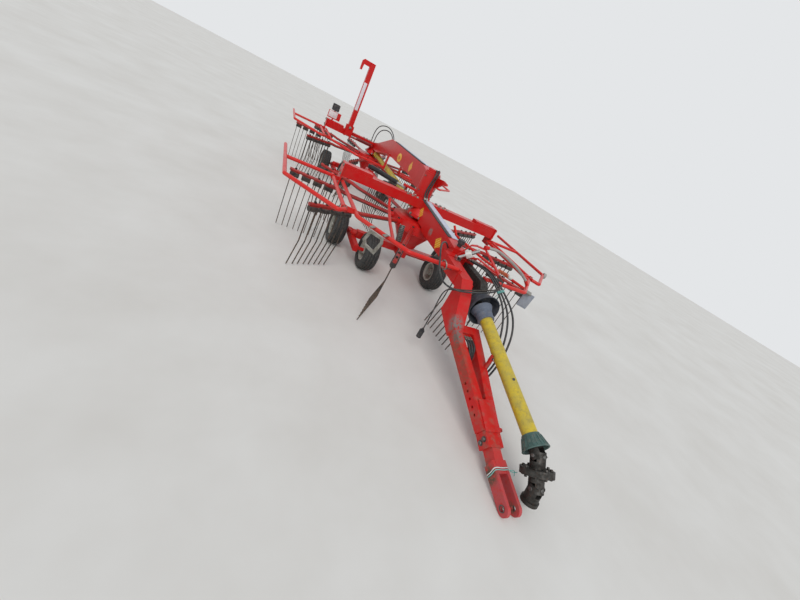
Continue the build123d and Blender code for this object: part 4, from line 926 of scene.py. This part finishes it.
class RAKE_OT_bolts(bpy.types.Operator):
    """Bolts of channels, gearboxes, rotor arms and tine holders"""

    bl_idname = "rake.bolts"
    bl_label = "Bolts"

    def execute(self, context):
        wide = context.scene.rake_looks.bolt_width
        for rotor, axis in ROTORS:
            # End plates of the channel, clamps on its top, and the ring of the gearbox
            spots = []
            for side in (-1, 1):
                for y in (-0.052, 0.052):
                    for z in (0.760, 0.850, 0.935):
                        spots.append((beside(side * 0.990, y, z, axis), (side, 0, 0)))
                for x in (0.14, 0.20, 0.26):
                    for y in (-0.042, 0.042):
                        spots.append((beside(side * x, y, 0.925, axis), (0, 0, 1)))
            for turn in range(8):
                out = outward(turn * tau / 8 + tau / 16)
                spots.append((axis + out * 0.150 + Vector((0, 0, 0.750)), out))
            fixed = copies(bolt_head(wide), spots)
            set_down(fixed, f"{rotor}_channel_bolts", f"{rotor}_frame", "steel")
            # One bolt at each arm's root and one on each of its holders
            spots = []
            for turn in range(ARM_COUNT):
                out = outward(FIRST_ARM + turn * tau / ARM_COUNT)
                spots.append((axis + out * 0.312 + Vector((0, 0, 0.671)), (0, 0, 1)))
                for place in range(HOLDER_COUNT):
                    reach = HOLDER_START + HOLDER_STEP * place
                    spots.append((axis + out * reach + Vector((0, 0, 0.664)), (0, 0, 1)))
            arms = copies(bolt_head(0.022), spots)
            set_down(arms, f"{rotor}_arm_bolts", f"{rotor}_rotor", "cast")
        return {"FINISHED"}


class RAKE_OT_welds(bpy.types.Operator):
    """Weld beads where beams meet channels, and grease nipples"""

    bl_idname = "rake.welds"
    bl_label = "Weld beads and nipples"

    def execute(self, context):
        for rotor, axis, sides in (("front", FRONT, (-1, 1)), ("rear", REAR, (-1,))):
            beads = []
            for x in (-0.0660, 0.0660):
                for side in sides:
                    # Each bead wanders by a millimetre as it climbs its corner
                    points = [beside(x + 0.0012 * (-1) ** step, side * (0.0608 + 0.0010 * (step % 3)),
                                     0.834 + 0.0045 * step, axis) for step in range(20)]
                    beads.append(pipe(points, 0.0042, sides=2))
            set_down(joined(*beads), f"{rotor}_weld_beads", f"{rotor}_frame", "enamel")
        nipple = turned([(0, 0.0065), (0.006, 0.0065), (0.0065, 0.004), (0.013, 0.004), (0.015, 0.0055),
                         (0.019, 0.0045)], sides=14)
        spots = []
        for height in (0.985, 1.150):
            for angle in (radians(205), radians(335)):
                out = outward(angle)
                spots.append((PIVOT + out * 0.0948 + Vector((0, 0, height)), out))
        set_down(copies(nipple, spots), "sleeve_grease_nipples", "rear_frame", "steel")
        return {"FINISHED"}


class RAKE_OT_guard_fittings(bpy.types.Operator):
    """Jack block, flap, hanging plate, springs, end cap, twine, wire ring and hinge washers"""

    bl_idname = "rake.guard_fittings"
    bl_label = "Guard fittings"

    def execute(self, context):
        # Block on the levelling jack, flap and cap of the right guard
        jack = beside(-0.011, -1.208, 0.882)
        nut = block((0.050, 0.050, 0.052), jack, (radians(24.6), radians(38), 0), 0.006, 3)
        set_down(nut, "jack_block", "front_frame", "white")
        flap = block((0.095, 0.007, 0.150), beside(0.684, -1.362, 0.714),
                     (radians(6), 0, radians(-32)), 0.002)
        set_down(flap, "guard_flap", "front_frame", "flap")
        clamp = block((0.100, 0.070, 0.012), beside(0.668, -1.345, 0.788), (0, 0, radians(47.4)), 0.003)
        set_down(clamp, "flap_clamp", "front_frame", "steel")
        # Plate with a wide window that hangs on two clips before the inner wheel
        along, ahead = Vector((0.731, -0.682, 0)), Vector((-0.682, -0.731, 0))
        foot = beside(-0.854, -1.142, 0) + ahead * 0.047
        corners = [foot + along * step + Vector((0, 0, z)) for step, z in (
            (0.012, 0.788), (-0.012, 0.690), (0.016, 0.652), (0.122, 0.632), (0.152, 0.742), (0.140, 0.788))]
        holder = window_plate(corners, 0.026, 0.006)
        clips = [block((0.030, 0.064, 0.007), foot + along * step - ahead * 0.020 + Vector((0, 0, 0.806)),
                       (0, 0, radians(-43)), 0.002) for step in (0.014, 0.136)]
        set_down(joined(holder, *clips), "hanging_plate", "front_frame", "steel")
        brace = coil(beside(-0.672, -1.272, 0.800), beside(-0.660, -1.190, 0.905), 0.019, 0.0042, 10)
        set_down(brace, "brace_spring", "front_frame", "grey_steel")
        cap = turned([(0, 0.020), (0, 0.033), (0.028, 0.033), (0.036, 0.026), (0.038, 0.012)],
                     beside(1.512, -0.592, GUARD_Z), (0.86, -0.5, 0), 28)
        set_down(cap, "loop_corner_cap", "front_loop_right", "cap")
        # Twine wound round the hoses, with its two short ends
        middle = beside(0.250, -1.497, 0.7668)
        way = Vector((0.053, -0.078, -0.048)).normalized()
        wide = Vector((0.047, 0.012, 0.018)).normalized()
        high = way.cross(wide).normalized()
        windings = []
        for shift in (-0.007, 0.0, 0.006):
            windings.append(pipe([middle + way * shift + wide * 0.039 * cos(k * tau / 10) +
                                  high * 0.016 * sin(k * tau / 10) for k in range(10)], 0.0024, closed=True))
        low = middle - high * 0.016
        for side, reach in ((-1, 0.0), (1, 0.02)):
            hanging = ((0, 0, 0), (0.006 * side, -0.004, -0.022), (0.016 * side, 0.002, -0.050),
                       (0.010 * side, 0, -0.078 - reach))
            windings.append(pipe([low + Vector(step) for step in hanging], 0.0022))
        set_down(joined(*windings), "hose_twine", "front_frame", "twine")
        # Springs that hold the folding loops, and the wire ring near the middle
        near, far = beside(0.50, -1.040, 0.792), beside(0.575, -1.118, 0.795)
        spring = coil(near, far, 0.015, 0.0042, 11)
        set_down(spring, "orange_guard_spring", "front_frame", "orange")
        eyes = [turned([(0, 0.008), (0.012, 0.017), (0.034, 0.017), (0.046, 0.009)], at, way, 20)
                for at, way in ((near, (-0.69, 0.72, 0)), (far, (0.69, -0.72, 0)))]
        set_down(joined(*eyes), "guard_spring_ends", "front_frame", "white")
        let_go()
        bpy.ops.mesh.primitive_torus_add(location=beside(-0.283, -1.380, 0.787), major_radius=0.036,
                                         minor_radius=0.0055, major_segments=36, minor_segments=10,
                                         rotation=(radians(70), radians(20), radians(90)))
        ring = bpy.context.object
        bpy.ops.object.transform_apply(location=True, rotation=True, scale=True)
        set_down(ring, "guard_wire_ring", "front_frame", "steel")
        for rotor, axis in ROTORS:
            for side, name in ((-1, "left"), (1, "right")):
                pin = []
                for y, way in ((-0.916, -1), (-0.026, 1)):
                    pin.append(turned([(0, 0.023), (0.003, 0.023), (0.0035, 0.0165), (0.010, 0.0165),
                                       (0.012, 0.012)], beside(side * 1.045, y, GUARD_Z, axis),
                                      (0, way, 0), 24))
                set_down(joined(*pin), f"{rotor}_hinge_washers_{name}", f"{rotor}_frame", "steel")
        return {"FINISHED"}


class RAKE_OT_hitch(bpy.types.Operator):
    """Bushes, bolts, cover plate and twine of drawbar and hitch"""

    bl_idname = "rake.hitch"
    bl_label = "Drawbar and hitch fittings"

    def execute(self, context):
        # Bushes in the lugs' cross holes
        tip = beside(0, HITCH_Y, HITCH_Z)
        bushes = []
        for side in (-1, 1):
            bushes.append(turned([(0, 0.0158), (0, 0.021), (0.004, 0.021), (0.004, 0.0158)],
                                 tip + Vector((side * 0.056, 0, 0)), (side, 0, 0), 28, open_ends=True))
        set_down(joined(*bushes), "hitch_bushes", "front_frame", "grey_steel")
        spots = [(beside(side * 0.062, y, drawbar_height(y) + lift), (side, 0, 0))
                 for side in (-1, 1) for y, lift in ((-2.330, 0.02), (-2.455, -0.02), (-2.455, 0.02))]
        bolts = copies(bolt_head(0.030), spots)
        set_down(bolts, "tongue_bolts", "front_frame", "grey_steel")
        cover = block((0.126, 0.215, 0.014), beside(0, -2.330, drawbar_height(-2.330) + 0.054),
                      (atan(DRAWBAR_RISE), 0, 0), 0.003, 3)
        tab = turned([(-0.005, 0.011), (-0.005, 0.026), (0.005, 0.026), (0.005, 0.011), (-0.005, 0.011)],
                     beside(0.083, -2.395, 0.186), (0.3, 1, 0.3), 28, True, True)
        set_down(joined(cover, tab), "tongue_cover_plate", "front_frame", "drawbar")
        # Twine tied round the tongue
        for name, y, key in (("white", -2.628, "white_twine"), ("cyan", -2.640, "twine")):
            middle = HITCH_Z + (y - HITCH_Y) * TONGUE_RISE
            half, tall = 0.0605, 0.0485
            loop = [beside(x, y + 0.004 * (-1) ** k, middle + z) for k, (x, z) in enumerate(
                ((-half, -tall), (-half, 0), (-half, tall), (0, tall + 0.001), (half, tall), (half, 0),
                 (half, -tall), (0, -tall - 0.001)))]
            tie = pipe(loop, 0.003, closed=True)
            if key == "twine":
                knot = beside(half, y, middle + tall - 0.006)
                tie = joined(tie, *[pipe([knot, knot + Vector((0.018, -0.004, 0.010 * lift)),
                                          knot + Vector((0.036, -0.010, 0.004 * lift)),
                                          knot + Vector((0.047, -0.018, -0.018 * lift - 0.010))], 0.0024)
                                    for lift in (1, -1)])
            set_down(tie, f"{name}_tongue_twine", "front_frame", key)
        return {"FINISHED"}


def drawbar_height(y):
    """Height of the drawbar's middle line beside the front rotor's axis."""
    return DRAWBAR_Z + (y - DRAWBAR_Y) * DRAWBAR_RISE


class RAKE_OT_mast(bpy.types.Operator):
    """Strip and hinge nuts of the mast, lamp lens and panel cover"""

    bl_idname = "rake.mast"
    bl_label = "Mast and lamp fittings"

    def execute(self, context):
        strip = block((0.052, 0.003, 0.44), beside(-0.602, -0.1515, 1.50, REAR), edge=0.001)
        set_down(strip, "mast_strip", "mast", "white_film")
        lens = block((0.096, 0.010, 0.084), beside(-0.900, 0.024, 1.165, REAR), edge=0.004)
        set_down(lens, "lamp_lens", "rear_frame", "lens")
        panel = block((0.150, 0.004, 0.100), beside(-0.915, -0.0315, 1.045, REAR), edge=0.0015)
        set_down(panel, "blank_panel_cover", "rear_frame", "pale_panel")
        pin = []
        for face in (-1, 1):
            pin.append(turned([(0, 0.024), (0.004, 0.024), (0.0045, 0.017), (0.014, 0.017), (0.016, 0.012)],
                              beside(-0.590, -0.110 + face * 0.0603, 0.985, REAR), (0, face, 0), 24))
        set_down(joined(*pin), "mast_hinge_nuts", "rear_frame", "steel")
        return {"FINISHED"}


class RAKE_OT_stage(bpy.types.Operator):
    """Pale floor, soft light and the camera"""

    bl_idname = "rake.stage"
    bl_label = "Stage"

    def execute(self, context):
        let_go()
        bpy.ops.mesh.primitive_plane_add(size=60, location=(0, 8, -0.0005))
        floor = bpy.context.object
        floor.name = "floor"
        # Matt plaster: a pale ground with faint clouds, and no gloss
        material, tree, place = open_material("pale_plaster_floor")
        shade = coated(tree, tint("#CFCBC4"), (patches(tree, place, 900, 0.3, 0.7), tint("#D8D5CF")))
        close_material(tree, {"Base Color": shade, "Roughness": 0.85})
        floor.data.materials.append(material)
        world = bpy.data.worlds.new("soft_daylight")
        context.scene.world = world
        world.use_nodes = True
        tree = world.node_tree
        tree.nodes.clear()
        # The sky lights softly, and looks pale where the camera, a mirror or glass shows it
        straight, mirrored, through = (add_node(tree, "LightPath", out=f"Is {ray} Ray")
                                       for ray in ("Camera", "Glossy", "Transmission"))
        seen = add_node(tree, "Math", {0: straight, 1: mirrored}, operation="MAXIMUM")
        seen = add_node(tree, "Math", {0: seen, 1: through}, operation="MAXIMUM")
        light = add_node(tree, "Background", {"Color": tint("#E8EEF6"), "Strength": 0.72})
        backdrop = add_node(tree, "Background", {"Color": tint("#E4E6E8"), "Strength": 1.0})
        sky = add_node(tree, "MixShader", {0: seen, 1: light, 2: backdrop})
        add_node(tree, "OutputWorld", {"Surface": sky})
        sun = bpy.data.lights.new("soft_sun", "SUN")
        sun.energy = 1.5
        sun.angle = radians(35)
        lamp = bpy.data.objects.new("soft_sun", sun)
        lamp.rotation_euler = (radians(38), radians(-22), 0)
        context.scene.collection.objects.link(lamp)
        context.scene.view_settings.view_transform = "Standard"
        camera = bpy.data.cameras.new("photo_view")
        camera.sensor_width = 36
        camera.lens = PHOTO_FOCAL / PHOTO_WIDTH * camera.sensor_width
        eye = bpy.data.objects.new("photo_view", camera)
        context.scene.collection.objects.link(eye)
        up = Vector((0, 0, 1))
        ahead = Vector((sin(PHOTO_YAW), cos(PHOTO_YAW), 0))
        right = Vector((cos(PHOTO_YAW), -sin(PHOTO_YAW), 0))
        line = ahead * cos(PHOTO_PITCH) - up * sin(PHOTO_PITCH)
        top = ahead * sin(PHOTO_PITCH) + up * cos(PHOTO_PITCH)
        across = right * cos(PHOTO_ROLL) + top * sin(PHOTO_ROLL)
        upward = -right * sin(PHOTO_ROLL) + top * cos(PHOTO_ROLL)
        spin = Matrix((across, upward, -line)).transposed().to_4x4()
        eye.matrix_world = Matrix.Translation(PHOTO_PLACE) @ spin
        context.scene.camera = eye
        return {"FINISHED"}


class RAKE_PT_panel(bpy.types.Panel):
    """The machine's pieces in the sidebar"""

    bl_label = "Rotary rake"
    bl_idname = "RAKE_PT_panel"
    bl_space_type = "VIEW_3D"
    bl_region_type = "UI"
    bl_category = "Rake"

    def draw(self, context):
        looks = context.scene.rake_looks
        for name in ("paint", "faded_paint", "rim_paint", "shaft_yellow", "tread_depth", "bolt_width"):
            self.layout.prop(looks, name)
        for operator in OPERATORS:
            self.layout.operator(operator.bl_idname)


OPERATORS = (
    RAKE_OT_paint_frame,
    RAKE_OT_tyres,
    RAKE_OT_wheel_nuts,
    RAKE_OT_lines,
    RAKE_OT_drive_shaft,
    RAKE_OT_stickers,
    RAKE_OT_bolts,
    RAKE_OT_welds,
    RAKE_OT_guard_fittings,
    RAKE_OT_hitch,
    RAKE_OT_mast,
    RAKE_OT_stage,
)
CLASSES = (RakeLooks, *OPERATORS, RAKE_PT_panel)


def register():
    """Adds the classes and the scene's settings."""
    for cls in CLASSES:
        bpy.utils.register_class(cls)
    bpy.types.Scene.rake_looks = bpy.props.PointerProperty(type=RakeLooks)


def unregister():
    """Removes what register added."""
    del bpy.types.Scene.rake_looks
    for cls in reversed(CLASSES):
        bpy.utils.unregister_class(cls)


def main():
    """Builds the looks in order."""
    register()
    for operator in OPERATORS:
        group, name = operator.bl_idname.split(".")
        getattr(getattr(bpy.ops, group), name)()


if __name__ == "__main__":
    main()
